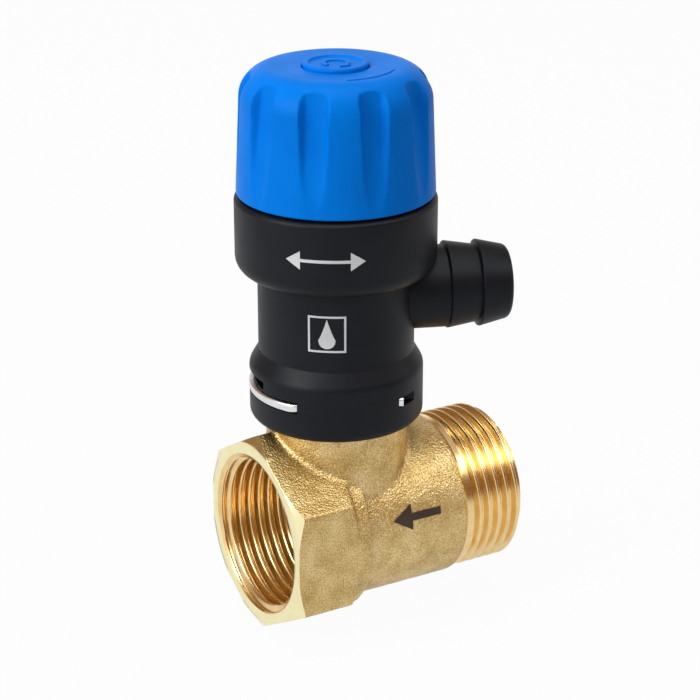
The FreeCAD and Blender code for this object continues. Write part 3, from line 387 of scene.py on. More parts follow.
def roundGrid(name, rows, steps, masks, castBands=()):
    # rows of (x, radius) round the run, each a number or a rule of the angle
    points, faces, turned, mask = [], [], [], []
    for (x, radius), amount in zip(rows, masks):
        for k in range(steps):
            turn = 2 * math.pi * k / steps
            along = x(turn) if callable(x) else x
            out = radius(turn) if callable(radius) else radius
            points.append(alongRun(out, turn, along))
            mask.append(amount)
    count = len(rows)
    for i in range(count):
        low, high = i * steps, (i + 1) % count * steps
        for k in range(steps):
            n = (k + 1) % steps
            faces.append([low + k, low + n, high + n, high + k])
            turned.append(i not in castBands)
    mesh = meshFrom(name, points, faces)
    mesh.attributes.new("threadMask", "FLOAT", "POINT").data.foreach_set("value", mask)
    mesh.attributes.new("turned", "BOOLEAN", "FACE").data.foreach_set("value", turned)
    work = bmesh.new()
    work.from_mesh(mesh)
    bmesh.ops.recalc_face_normals(work, faces=work.faces)
    work.to_mesh(mesh)
    work.free()
    return mesh


hexEnd = {
    "flat": 15.0, "corner": 0.9, "faceRadius": 15.3, "faceLip": 0.12, "faceBand": 14.2,
    "chamfer": 1.1, "chamferLip": 0.08, "quarter": 0.25, "ease": 0.7, "easeRim": 0.03,
    "mouth": 13.4, "mouthBevel": 0.06, "bevelDepth": 0.05, "lead": 1.1, "depth": 12.0, "seam": 1.4,
    "runOutEnd": 11.7, "runOutLength": 1.6, "floorStart": 12.1, "floorRadius": 11.96, "throatBore": 10.66,
    "sleeve": 13.5, "sleeveEnd": 11.0, "throat": 12.95, "throatEnd": 13.4, "rows": 118, "steps": 360,
}
hexHalf = math.radians(30)  # from a flat's middle to its corner


def hexRadius(turn):
    # flats face +Y and every 60 degrees from there; corners are rounded
    fromFlat = abs((turn + hexHalf) % (2 * hexHalf) - hexHalf)
    flat, soft = hexEnd["flat"], hexEnd["corner"]
    fromCorner = hexHalf - fromFlat
    if fromFlat < math.atan((flat - soft) * math.tan(hexHalf) / flat):
        return flat / math.cos(fromFlat)
    centre = (flat - soft) / math.cos(hexHalf)
    return centre * math.cos(fromCorner) + math.sqrt(soft ** 2 - (centre * math.sin(fromCorner)) ** 2)


def faceRadius(turn):
    return min(hexEnd["faceRadius"], hexRadius(turn) - hexEnd["faceLip"])


def chamferEnd(turn):
    full = hexEnd["flat"] / math.cos(hexHalf) - hexEnd["faceRadius"]
    beyond = max(0, hexRadius(turn) - hexEnd["faceRadius"])
    return hexEnd["chamferLip"] + hexEnd["chamfer"] * beyond / full


def chamferQuarter(turn):
    return chamferEnd(turn) * hexEnd["quarter"]


def quarterRadius(turn):
    across = hexRadius(turn) - faceRadius(turn)
    return faceRadius(turn) + hexEnd["easeRim"] + hexEnd["ease"] * across * hexEnd["quarter"]


def makeSocket():
    mouth, minor, bevel = hexEnd["mouth"], thread["minor"], hexEnd["bevelDepth"]
    rows = [(hexEnd["throatEnd"], hexEnd["throat"]), (hexEnd["sleeveEnd"], hexEnd["throat"]),
            (hexEnd["sleeveEnd"], hexEnd["sleeve"]), (hexEnd["seam"], hexEnd["sleeve"]),
            (hexEnd["seam"], hexRadius)]
    castBand = len(rows) - 1
    rows += [(chamferEnd, hexRadius), (chamferQuarter, quarterRadius), (0.0, faceRadius),
             (0.0, hexEnd["faceBand"]), (0.0, mouth + hexEnd["mouthBevel"]), (bevel, mouth)]
    masks = [0.0] * len(rows)
    for k in range(1, hexEnd["rows"] + 1):
        x = bevel + (hexEnd["depth"] - bevel) * k / hexEnd["rows"]
        rows.append((x, max(minor, mouth - (mouth - minor) * x / hexEnd["lead"])))
        masks.append(min(1, max(0, (hexEnd["runOutEnd"] - x) / hexEnd["runOutLength"])))
    inner = [(hexEnd["floorStart"], hexEnd["floorRadius"]), (hexEnd["throatEnd"], hexEnd["throatBore"])]
    rows += inner
    masks += [0.0] * len(inner)
    mesh = roundGrid("socketRing", rows, hexEnd["steps"], masks, [castBand])
    piece = newPiece("socketRing", mesh)
    mesh.materials.append(castBrass)
    done = runRule(piece, cutThread, {
        "Pitch": thread["pitch"] * mm, "Depth": thread["depth"] * mm, "Reference": minor * mm, "Side": -1.0,
        "Material": turnedBrass})
    done.materials.append(facedBrassPaintedHighlight)
    # front face rings outside the mouth take the paler brass, a painted highlight
    for face in done.polygons:
        out = math.hypot(face.center.y, face.center.z)
        if face.material_index and out > mouth * mm and face.center.x < hexEnd["chamfer"] * mm:
            face.material_index = len(done.materials) - 1
    smoothSkin(done, 40)
    return piece


inlet = {
    "start": 32.3, "lap": 0.4, "lapBore": 10.7, "lapRadius": 12.0, "barrel": 13.58, "bevel": 0.06,
    "band": 12.97, "bandFrom": 32.9, "bandGap": 0.05, "threadFrom": 33.95, "threadDepth": 1.08,
    "crestRise": 0.4, "runIn": 0.6, "end": 43.7, "chamfer": 0.9, "rimBand": 11.5, "bore": 10.2,
    "boreBevel": 0.25, "groove": 11.1, "grooveFrom": 41.0, "grooveTo": 42.2, "rows": 96, "steps": 360,
}


def makeInlet():
    start, first, end, bore = (inlet[k] for k in ("start", "threadFrom", "end", "bore"))
    lap, bevel, barrel = start - inlet["lap"], inlet["bevel"], inlet["barrel"]
    rows = [(lap, inlet["lapBore"]), (lap, inlet["lapRadius"]), (start, inlet["lapRadius"]),
            (start, barrel - bevel), (start + bevel, barrel - 2 * bevel), (inlet["bandFrom"], inlet["band"]),
            (first - inlet["bandGap"], inlet["band"])]
    masks = [0.0] * len(rows)
    for k in range(inlet["rows"] + 1):
        x = first + (end - first) * k / inlet["rows"]
        crest = thread["crest"] - max(0, x - end + inlet["chamfer"])
        rise = min(1, (x - first) / inlet["crestRise"])
        rows.append((x, crest - (1 - rise) * (thread["crest"] - inlet["band"])))
        masks.append(min(1, max(0.001, (x - first) / inlet["runIn"])))  # above 0, so that the rule takes it
    inner = [(end, inlet["rimBand"]), (end, bore + inlet["boreBevel"]), (end - inlet["boreBevel"], bore),
             (inlet["grooveTo"], bore), (inlet["grooveTo"], inlet["groove"]),
             (inlet["grooveFrom"], inlet["groove"]), (inlet["grooveFrom"], bore), (start, bore),
             (start, inlet["lapBore"])]
    rows += inner
    masks += [0.0] * len(inner)
    piece = newPiece("inletEnd", roundGrid("inletEnd", rows, inlet["steps"], masks))
    done = runRule(piece, cutThread, {
        "Pitch": thread["pitch"] * mm, "Depth": inlet["threadDepth"] * mm, "Reference": thread["crest"] * mm,
        "Side": 1.0, "Material": turnedBrass})
    smoothSkin(done, 40)
    return piece


casting = {
    "voxel": 0.33, "soften": 3, "softenBy": 0.5, "waves": 0.035, "waveScale": 0.45, "pits": 0.03,
    "pitScale": 1.5, "calm": 2.0, "neckCore": 11.2, "coreLow": 5.0, "coreHigh": 20.0, "ahead": -1.0,
    "footSteps": 180, "steps": 96,
    "foot": [(13.0, 10.4), (15.0, 10.4), (15.0, 11.6), (14.95, 13.55, 0.4), (13.4, 13.85), (13.0, 13.85)],
}


def mergedCopy(node, name):
    mesh = nodes[node].data.copy()
    mesh.name = name
    work = bmesh.new()
    work.from_mesh(mesh)
    bmesh.ops.remove_doubles(work, verts=work.verts, dist=1e-6)
    work.to_mesh(mesh)
    work.free()
    mesh.materials.clear()
    return mesh


def makeCasting():
    piece = newPiece("castTee", mergedCopy("brass_body", "castTee"))
    # forged foot behind the hexagon, outside the neck only
    foot = newPiece("foot", lathe("foot", softLine(casting["foot"]), casting["footSteps"], alongRun))
    core, low, high = (casting[k] for k in ("neckCore", "coreLow", "coreHigh"))
    coreLine = softLine([(0, low), (core, low), (core, high), (0, high)])
    boolean(foot, newPiece("core", lathe("core", coreLine, casting["steps"], upright)), "DIFFERENCE")
    boolean(piece, foot, "UNION")
    sleeve, sleeveEnd, throat, throatEnd = (hexEnd[k] for k in ("sleeve", "sleeveEnd", "throat", "throatEnd"))
    boreLine = softLine([(0, casting["ahead"]), (sleeve, casting["ahead"]), (sleeve, sleeveEnd),
                         (throat, sleeveEnd), (throat, throatEnd), (0, throatEnd)])
    boolean(piece, newPiece("bored", lathe("bored", boreLine, casting["steps"], alongRun)), "DIFFERENCE")
    skin = piece.modifiers.new("skin", "REMESH")
    skin.mode = "VOXEL"
    skin.voxel_size = casting["voxel"] * mm
    soften = piece.modifiers.new("soften", "SMOOTH")
    soften.factor = casting["softenBy"]
    soften.iterations = casting["soften"]
    mesh = settle(piece)
    work = bmesh.new()
    work.from_mesh(mesh)
    for spot in work.verts:  # uneven sand-cast skin, flat again near the turned ends
        at = spot.co / mm
        near = min(1, max(0, min(at.x - hexEnd["seam"], inlet["start"] - at.x) / casting["calm"]))
        waves = casting["waves"] * noise.noise(at * casting["waveScale"])
        pits = casting["pits"] * noise.noise(at * casting["pitScale"])
        spot.co += spot.normal * (waves + pits) * near * mm
    for x, dropBelow in ((hexEnd["seam"], True), (inlet["start"], False)):
        bmesh.ops.bisect_plane(work, geom=work.verts[:] + work.edges[:] + work.faces[:], dist=1e-7,
                               plane_co=(x * mm, 0, 0), plane_no=(1, 0, 0),
                               clear_inner=dropBelow, clear_outer=not dropBelow)
        rim = [edge for edge in work.edges if edge.is_boundary]
        bmesh.ops.bridge_loops(work, edges=rim)
    work.to_mesh(mesh)
    work.free()
    mesh.materials.clear()
    mesh.materials.append(castBrass)
    smoothSkin(mesh, 60)
    return piece


castTee = makeCasting()
socketRing = makeSocket()
inletEnd = makeInlet()
for piece in (castTee, socketRing, inletEnd):
    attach(piece, "valve_body")
    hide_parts("brass_body")
    print(piece.name, "faces", len(piece.data.polygons))


# black housing: one moulding with collar, body, cup and drain barb

moulding = {
    "line": [(11.55, 18.6, 0.2), (14.0, 18.6, 1.4), (14.0, 27.6, 2.4), (12.5, 30.2, 0.4), (12.5, 43.1, 0.5),
             (16.0, 43.1, 2.8), (16.0, 55.6, 0.8), (13.6, 55.6, 0.3), (13.6, 51.2), (14.4, 51.2),
             (14.4, 50.0), (13.6, 50.0), (13.6, 46.4), (9.0, 46.4), (9.0, 29.5), (5.8, 29.5), (5.8, 17.6),
             (8.45, 17.6), (8.45, 20.0), (7.0, 20.0), (7.0, 22.0), (8.45, 22.0), (8.45, 27.7), (11.55, 27.7)],
    "root": [(0, 9.6), (6.65, 9.6), (6.65, 17.5), (0, 17.5)], "rootDrop": 0.2,
    "barb": [(0, 15.0), (6.4, 15.0), (6.4, 17.3, 0.1), (7.05, 17.6, 0.22), (6.25, 22.42, 0.1),
             (7.05, 22.7, 0.25), (5.85, 27.8, 1.1), (0, 27.8)],
    "bore": [(0, 4.5), (4.2, 4.5), (4.2, 27.4), (4.6, 27.9), (0, 27.9)],
    "barbLevel": 39.4, "steps": 240, "barbSteps": 160, "boreSteps": 96,
    # clip window behind: span, low and high of its wide slot and of the notch over it
    "window": [(110, 23.2, 25.1), (52, 25.0, 26.8)], "windowInner": 11.4, "windowOuter": 15.0,
    # channels of the clip's legs, on one side: near and far corner
    "channels": [((-12.9, 9.9), (15, 11.3)), ((7.7, 8.4), (15, 11.2))],
    "channelLow": 23.2, "channelHigh": 24.8,
}
sectorSteps = 40


def alongDrain(radius, turn, reach):
    side, rise = radius * math.cos(turn), radius * math.sin(turn)
    return swung(drainTurn)(reach, side, moulding["barbLevel"] + rise)


def block(name, x0, y0, x1, y1, low, high, turn):
    return prism(name, [(x0, y0), (x1, y0), (x1, y1), (x0, y1)], low, high, swung(turn))


def sector(inner, outer, middle, span, low, high):
    turns = [math.radians(middle - span / 2 + span * k / sectorSteps) for k in range(sectorSteps + 1)]
    return prism("sector", arcOf(outer, turns) + arcOf(inner, reversed(turns)), low, high, swung(0))


def housingCutters():
    behind = 180 + math.degrees(drainTurn)
    inner, outer = moulding["windowInner"], moulding["windowOuter"]
    cutters = [sector(inner, outer, behind, span, low, high) for span, low, high in moulding["window"]]
    for (x0, near), (x1, far) in moulding["channels"]:
        for y0, y1 in ((near, far), (-far, -near)):
            cutters.append(block("channel", x0, y0, x1, y1, moulding["channelLow"], moulding["channelHigh"],
                                 drainTurn))
    return cutters


def makeHousing():
    shell = lathe("housing", softLine(moulding["line"]), moulding["steps"], upright)
    piece = newPiece("housing", shell)
    root = lathe("root", softLine(moulding["root"]), moulding["barbSteps"], alongDrain)
    root.transform(Matrix.Translation((0, 0, -moulding["rootDrop"] * mm)))
    barb = lathe("barb", softLine(moulding["barb"]), moulding["barbSteps"], alongDrain)
    for extra in (root, barb):
        boolean(piece, newPiece("extra", extra), "UNION")
    bore = lathe("barbBore", softLine(moulding["bore"]), moulding["boreSteps"], alongDrain)
    for cutter in [bore] + housingCutters():
        boolean(piece, newPiece("cutter", cutter), "DIFFERENCE")
    piece.data.materials.clear()
    piece.data.materials.append(blackPlastic)
    smoothSkin(piece.data, 30)
    return piece


housing = makeHousing()
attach(housing, "cartridge")
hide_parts("valve_housing")
print("housing faces", len(housing.data.polygons))


# steel wire swept along a path: the clip and the two coil springs

def sweepRule():
    tree, given, result = newRule("wireSweep", ["Wide", "Tall", "Edge"])
    path = addNode(tree, "GeometryNodeMeshToCurve", {}, {"Mesh": given["Geometry"]}).outputs["Curve"]
    square = addNode(tree, "GeometryNodeCurvePrimitiveQuadrilateral", {}, {
        "Width": given["Wide"], "Height": given["Tall"]}).outputs["Curve"]
    soft = addNode(tree, "GeometryNodeFilletCurve", {"mode": "POLY"}, {
        "Curve": square, "Count": 4, "Radius": given["Edge"]}).outputs["Curve"]
    bar = addNode(tree, "GeometryNodeCurveToMesh", {}, {
        "Curve": path, "Profile Curve": soft, "Fill Caps": True}).outputs["Mesh"]
    whole = addNode(tree, "GeometryNodeRealizeInstances", {}, {"Geometry": bar}).outputs[0]
    dressed = addNode(tree, "GeometryNodeSetMaterial", {}, {
        "Geometry": whole, "Material": given["Material"]}).outputs[0]
    tree.links.new(dressed, result["Geometry"])
    return tree


sweep = sweepRule()


def sweepWire(name, points, wide, tall, edge):
    # points in metres, the section in mm
    mesh = bpy.data.meshes.new(name)
    mesh.from_pydata(points, [(k, k + 1) for k in range(len(points) - 1)], [])
    piece = newPiece(name, mesh)
    done = runRule(piece, sweep, {
        "Wide": wide * mm, "Tall": tall * mm, "Edge": edge * mm, "Material": drawnSteel})
    faceOutward(done)
    smoothSkin(done, 35)
    return piece


wire = {"wide": 1.2, "tall": 1.46, "edge": 0.36, "level": 24.0, "leg": 10.6, "legEnd": 9.0, "legSteps": 10,
        "bow": 13.5, "bowTurn": 46.0, "bowSteps": 48, "bendStart": -6.9, "bendCorner": -8.6, "bendSteps": 8}


def clipPath():
    leg, bow = wire["leg"], wire["bow"]
    end = math.radians(180 - wire["bowTurn"])
    turns = [end + (2 * math.pi - 2 * end) * k / wire["bowSteps"] for k in range(wire["bowSteps"] + 1)]
    arc = arcOf(bow, turns)
    start, corner, stop = (Vector(p) for p in ((wire["bendStart"], leg), (wire["bendCorner"], leg), arc[0]))
    shares = [k / wire["bendSteps"] for k in range(wire["bendSteps"])]
    bend = [start.lerp(corner, share).lerp(corner.lerp(stop, share), share) for share in shares]
    straight, steps = wire["bendStart"] - wire["legEnd"], wire["legSteps"]
    upper = [(wire["legEnd"] + straight * k / steps, leg) for k in range(steps)]
    upper += [tuple(p) for p in bend]
    return upper + arc + [(x, -y) for x, y in reversed(upper)]


def makeClip():
    put = swung(drainTurn)
    points = [put(x, y, wire["level"]) * mm for x, y in clipPath()]
    return sweepWire("clip", points, wire["wide"], wire["tall"], wire["edge"])


clip = makeClip()
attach(clip, "cartridge")
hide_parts("retaining_clip")
print("clip faces", len(clip.data.polygons))

coils = {
    "main_spring": {"name": "mainCoil", "wire": 1.7, "turns": 5.0, "axis": 2, "heldHigh": True,
                    "body": "cartridge", "joint": "stem_lift", "travel": 1.5},
    "check_spring": {"name": "checkCoil", "wire": 0.6, "turns": 4.0, "axis": 0, "heldHigh": False,
                     "body": "valve_body", "joint": "check_lift", "travel": 3.5},
}
endTurns = 0.8  # closed turns at each end of a spring
coilSteps = 40  # in each turn
nearlyRound = 0.49  # rounding as a share of the wire's thickness


def coilPath(coil, low, high):
    along, across = coil["axis"], [(coil["axis"] + k) % 3 for k in (1, 2)]
    thick = coil["wire"] * mm
    rise = high[along] - low[along] - thick
    radius = (high[across[0]] - low[across[0]] - thick) / 2
    lead = (rise - 2 * endTurns * thick) / (coil["turns"] - 2 * endTurns)
    points = []
    for k in range(int(coil["turns"] * coilSteps) + 1):
        turn = k / coilSteps
        left = coil["turns"] - turn
        level = endTurns * thick + (turn - endTurns) * lead
        if turn < endTurns:
            level = turn * thick
        elif left < endTurns:
            level = rise - left * thick
        point = (low + high) / 2
        point[along] = low[along] + thick / 2 + level
        point[across[0]] += radius * math.cos(2 * math.pi * turn)
        point[across[1]] += radius * math.sin(2 * math.pi * turn)
        points.append(point)
    return points


for node, coil in coils.items():
    low, high = (Vector(corner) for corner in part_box(node))
    thick = coil["wire"]
    spring = sweepWire(coil["name"], coilPath(coil, low, high), thick, thick, thick * nearlyRound)
    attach(spring, coil["body"])
    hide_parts(node)
    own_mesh(spring)
    print(spring.name, "faces", len(spring.data.polygons))


# blue knob with ten flutes, and its centre cap

grip = {
    "line": [(12.53, 56.0, 0.25), (15.68, 56.0, 0.35), (14.88, 76.0, 5.0), (5.2, 76.0, 0.3), (5.2, 72.3),
             (4.7, 72.3), (4.7, 71.4), (2.55, 71.4), (2.55, 67.6), (6.5, 67.6, 0.3), (6.5, 71.0, 0.4),
             (12.53, 71.0, 0.5)],
    "arcSteps": 14, "steps": 460, "skin": 12.6, "skinStep": 0.24, "insideStep": 2.5,
    "flutes": 10, "phase": 11.5, "halfHead": 8.2, "halfFoot": 5.8, "wall": 3.0, "footLevel": 57.6,
    "headLevel": 74.0, "footFloor": 15.50, "headFloor": 13.05, "hollow": 0.35, "soft": 0.3, "inside": 12.8,
    "arc": (8.9, 9.35, -78, 62, 75.7, 76.12),  # raised arc: inner, outer, middle, span, low, high
    "lugs": 3, "lugInner": 9.53, "lugOuter": 10.93, "lugHalf": 1.6, "lugLow": 66.2, "lugHigh": 71.2,
}


def fluteRule():
    tree, given, result = newRule("fluteRule", [
        "Count", "Phase", "Half Head", "Half Foot", "Wall", "Foot Level", "Head Level", "Foot Floor",
        "Head Floor", "Hollow", "Soft", "Axis X", "Inside"])
    parts = addNode(tree, "ShaderNodeSeparateXYZ", {}, {
        "Vector": addNode(tree, "GeometryNodeInputPosition", {}, {}).outputs[0]}).outputs
    east = calc(tree, "SUBTRACT", parts["X"], given["Axis X"])
    radius = calc(tree, "SQRT", calc(tree, "MULTIPLY_ADD", east, east,
                                     calc(tree, "MULTIPLY", parts["Y"], parts["Y"])))
    turn = calc(tree, "SUBTRACT", calc(tree, "ARCTAN2", parts["Y"], east), given["Phase"])
    step = calc(tree, "DIVIDE", 2 * math.pi, given["Count"])
    # angle from the nearest flute's middle
    aside = calc(tree, "PINGPONG", turn, calc(tree, "DIVIDE", step, 2.0))
    half = spread(tree, parts["Z"], given["Foot Level"], given["Head Level"],
                  given["Half Foot"], given["Half Head"])
    edge = calc(tree, "MULTIPLY", given["Wall"], 0.5)
    across = spread(tree, aside, calc(tree, "SUBTRACT", half, edge), calc(tree, "ADD", half, edge), 1.0, 0.0,
                    "SMOOTHSTEP")
    rise = calc(tree, "DIVIDE", calc(tree, "SUBTRACT", parts["Z"], given["Foot Level"]),
                calc(tree, "SUBTRACT", given["Head Level"], given["Foot Level"]))
    floor = calc(tree, "MULTIPLY_ADD", rise, calc(tree, "SUBTRACT", given["Head Floor"], given["Foot Floor"]),
                 given["Foot Floor"])
    share = calc(tree, "MINIMUM", calc(tree, "DIVIDE", aside, half), 1.0)
    hollow = calc(tree, "MULTIPLY_ADD", given["Hollow"], calc(tree, "MULTIPLY", share, share), floor)
    deep = calc(tree, "SMOOTH_MAX", calc(tree, "SUBTRACT", radius, hollow), 0.0, given["Soft"])
    outside = calc(tree, "GREATER_THAN", radius, given["Inside"])
    ratio = calc(tree, "DIVIDE", calc(tree, "SUBTRACT", radius, calc(tree, "MULTIPLY", across, deep)), radius)
    there = addNode(tree, "ShaderNodeCombineXYZ", {}, {
        "X": calc(tree, "MULTIPLY_ADD", east, ratio, given["Axis X"]),
        "Y": calc(tree, "MULTIPLY", parts["Y"], ratio), "Z": parts["Z"]}).outputs["Vector"]
    moved = addNode(tree, "GeometryNodeSetPosition", {}, {
        "Geometry": given["Geometry"], "Position": there, "Selection": outside}).outputs[0]
    whole = addNode(tree, "GeometryNodeRealizeInstances", {}, {"Geometry": moved}).outputs[0]
    dressed = addNode(tree, "GeometryNodeSetMaterial", {}, {
        "Geometry": whole, "Material": given["Material"]}).outputs[0]
    tree.links.new(dressed, result["Geometry"])
    return tree


def makeKnob():
    corners = softLine(grip["line"], grip["arcSteps"])
    line = []
    for here, ahead in zip(corners, corners[1:] + corners[:1]):
        step = grip["skinStep"] if min(here.x, ahead.x) > grip["skin"] else grip["insideStep"]
        count = max(1, math.ceil((ahead - here).length / step))
        line += [here.lerp(ahead, k / count) for k in range(count)]
    piece = newPiece("knob", lathe("knob", line, grip["steps"], upright))
    angles = {"Phase": "phase", "Half Head": "halfHead", "Half Foot": "halfFoot", "Wall": "wall"}
    lengths = {"Foot Level": "footLevel", "Head Level": "headLevel", "Foot Floor": "footFloor",
               "Head Floor": "headFloor", "Hollow": "hollow", "Soft": "soft", "Inside": "inside"}
    values = {"Count": grip["flutes"], "Axis X": branchX * mm, "Material": bluePlastic}
    values.update({label: math.radians(grip[key]) for label, key in angles.items()})
    values.update({label: grip[key] * mm for label, key in lengths.items()})
    done = runRule(piece, fluteRule(), values)
    extras = [sector(*grip["arc"])]
    for k in range(grip["lugs"]):
        turn = math.radians(grip["phase"] + 360 / grip["lugs"] * k)
        extras.append(block("lug", grip["lugInner"], -grip["lugHalf"], grip["lugOuter"], grip["lugHalf"],
                            grip["lugLow"], grip["lugHigh"], turn))
    piece.data = joinMeshes("knob", [done] + extras)
    piece.data.materials.append(bluePlastic)
    smoothSkin(piece.data, 38)
    return piece


button = {
    "line": [(0, 75.0), (4.3, 75.0), (4.3, 72.3), (5.1, 72.3), (5.1, 76.6, 0.42), (4.25, 76.6, 0.18),
             (4.0, 76.32, 0.12), (0, 76.32)],
    "arcSteps": 8, "steps": 144, "floor": 76.32, "sink": 0.1, "raise": 0.2, "arrowIn": 1.55, "arrowOut": 2.25,
    "arrowStart": 200, "arrowSpan": 265, "arrowSteps": 40, "headHalf": 0.95, "headLength": 1.5,
}


def makeCap():
    body = lathe("knobCap", softLine(button["line"], button["arcSteps"]), button["steps"], upright)
    # generic turn arrow: three quarters of a ring with a head
    inner, outer, steps = button["arrowIn"], button["arrowOut"], button["arrowSteps"]
    turns = [math.radians(button["arrowStart"] - button["arrowSpan"] * k / steps) for k in range(steps + 1)]
    ring = arcOf(outer, turns) + arcOf(inner, reversed(turns))
    tip = turns[-1]
    along = Vector((math.sin(tip), -math.cos(tip)))
    radial = Vector((math.cos(tip), math.sin(tip)))
    base = radial * (inner + outer) / 2
    aside = radial * button["headHalf"]
    head = [tuple(p) for p in (base + aside, base + along * button["headLength"], base - aside)]
    low, high = button["floor"] - button["sink"], button["floor"] + button["raise"]
    marks = [prism("capMark", outline, low, high, swung(0)) for outline in (ring, head)]
    piece = newPiece("knobCap", joinMeshes("knobCap", [body] + marks))
    piece.data.materials.append(bluePlastic)
    smoothSkin(piece.data, 38)
    return piece


knob = makeKnob()
knobCap = makeCap()
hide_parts("control_knob")
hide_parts("knob_cap")
for piece in (knob, knobCap):
    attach(piece, "knob")
    print(piece.name, "faces", len(piece.data.polygons))


# finishes of the inner parts that keep their own shape

innerFinish = {
    "check_cage": whitePlastic, "check_seat": whitePlastic, "check_poppet": whitePlastic,
    "check_o_ring": blackRubber, "poppet_seal": blackRubber, "neck_o_ring": blackRubber,
    "diaphragm": blackRubber, "seat_seal": blackRubber, "spring_bonnet": blackPlastic,
    "adjusting_nut": blackPlastic, "lift_stem": turnedBrass, "disc_holder": turnedBrass,
    "diaphragm_nut": turnedBrass, "snap_ring": drawnSteel, "bonnet_ring": drawnSteel,
    "spring_plate": drawnSteel, "knob_washer": drawnSteel, "knob_screw": drawnSteel,
}
for name, finish in innerFinish.items():
    slots = nodes[name].material_slots
    for slot in slots:
        slot.material = finish
    if not slots:
        nodes[name].data.materials.append(finish)
print("inner parts dressed:", len(innerFinish))


# generic marks: flow arrow etched on the barrel, white print on the housing

flowMark = {"x": 22.8, "turn": 166.0, "length": 9.0, "shaft": 1.3, "head": 4.4, "headLength": 3.6,
            "radius": 13.6, "sink": 0.3, "lift": 0.07, "overlap": 0.05, "blunt": 0.98,
            "shaftRows": 4, "headRows": 10}


def onBarrel(u, v, w):
    turn = math.radians(flowMark["turn"]) - v / flowMark["radius"]
    return alongRun(flowMark["radius"] + w, turn, flowMark["x"] + u)


def stripShell(name, rows, low, high, place):
    # closed shell over rows of (v, from u, to u)
    points = [place(u, v, w) for w in (low, high) for v, first, last in rows for u in (first, last)]
    count = len(rows)
    def at(layer, row, side):
        return layer * 2 * count + 2 * row + side
    faces = []
    for k in range(count - 1):
        faces += [[at(n, k, 0), at(n, k, 1), at(n, k + 1, 1), at(n, k + 1, 0)] for n in (0, 1)]
        faces += [[at(0, k, n), at(0, k + 1, n), at(1, k + 1, n), at(1, k, n)] for n in (0, 1)]
    for k in (0, count - 1):
        faces.append([at(0, k, 0), at(0, k, 1), at(1, k, 1), at(1, k, 0)])
    mesh = meshFrom(name, points, faces)
    faceOutward(mesh)
    return mesh


def rowsOf(first, last, steps, low, high):
    # rows between two places, with edges as rules of the share from 0 to 1
    return [(first + (last - first) * k / steps, low(k / steps), high(k / steps)) for k in range(steps + 1)]


printed = {
    "thick": 0.05, "sink": 0.15, "overlap": 0.02,
    "turnArrow": {"radius": 16.0, "turn": -125.5, "level": 49.7, "half": 6.2, "neck": 3.9, "wing": 1.45,
                  "line": 0.24, "shaftRows": 16, "headRows": 8},
    "drop": {"radius": 12.5, "turn": -126.2, "level": 36.6, "half": 3.0, "line": 0.32, "lap": 0.01,
             "tip": 2.2, "belly": 1.35, "low": 0.75, "dome": 0.2, "taper": 1.35, "barRows": 2, "sideRows": 12,
             "dropRows": 24},
}


def onHousing(mark):
    def put(u, v, w):
        return upright(mark["radius"] + w, math.radians(mark["turn"]) + v / mark["radius"], mark["level"] + u)
    return put


def makePrint(name, mark, shapes):
    meshes = [stripShell(name, rows, -printed["sink"], printed["thick"], onHousing(mark)) for rows in shapes]
    piece = newPiece(name, joinMeshes(name, meshes))
    piece.data.materials.append(whitePrint)
    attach(piece, "cartridge")


def printTurnArrow():
    mark = printed["turnArrow"]
    half, neck, wing, line = (mark[k] for k in ("half", "neck", "wing", "line"))
    over, rows = printed["overlap"], mark["headRows"]
    makePrint("turnArrow", mark, [
        rowsOf(-neck - over, neck + over, mark["shaftRows"], lambda t: -line, lambda t: line),
        rowsOf(-half, -neck, rows, lambda t: -wing * t - over, lambda t: wing * t + over),
        rowsOf(neck, half, rows, lambda t: -wing * (1 - t) - over, lambda t: wing * (1 - t) + over)])


def printDrop():
    mark = printed["drop"]
    half, belly, over = mark["half"], mark["belly"], printed["overlap"]
    inner = half - mark["line"]
    reach, bars, sides = inner + mark["lap"], mark["barRows"], mark["sideRows"]
    middle = -belly * mark["low"]

    def roundness(t):
        return math.sqrt(max(0, 1 - (2 * t - 1) ** 2)) * belly

    def top(t):
        peak = (mark["tip"] - middle) * (1 - abs(2 * t - 1)) ** mark["taper"]
        return middle + roundness(t) * mark["dome"] + peak + over

    def bottom(t):
        return middle - roundness(t) - over

    makePrint("dropSign", mark, [
        rowsOf(-half, -inner, bars, lambda t: -half, lambda t: half),
        rowsOf(inner, half, bars, lambda t: -half, lambda t: half),
        rowsOf(-reach, reach, sides, lambda t: -half, lambda t: -inner),
        rowsOf(-reach, reach, sides, lambda t: inner, lambda t: half),
        rowsOf(-belly, belly, mark["dropRows"], bottom, top)])


def makeFlowMark():
    half, head, shaft = (flowMark[k] / 2 for k in ("length", "head", "shaft"))
    neck = -half + flowMark["headLength"]
    count = flowMark["shaftRows"]
    body = [(shaft * k / count, neck - flowMark["overlap"], half) for k in range(-count, count + 1)]
    count = flowMark["headRows"]
    sides = [head * flowMark["blunt"] * k / count for k in range(-count, count + 1)]
    point = [(v, -half + flowMark["headLength"] * abs(v) / head, neck) for v in sides]
    low, high = -flowMark["sink"], flowMark["lift"]
    meshes = [stripShell("mark", rows, low, high, onBarrel) for rows in (body, point)]
    piece = newPiece("flowMark", joinMeshes("flowMark", meshes))
    piece.data.materials.append(etchedBrass)
    return piece


flowArrow = makeFlowMark()
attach(flowArrow, "valve_body")
printTurnArrow()
printDrop()
print("marks made")


# studio: white floor and backdrop, two soft lamps

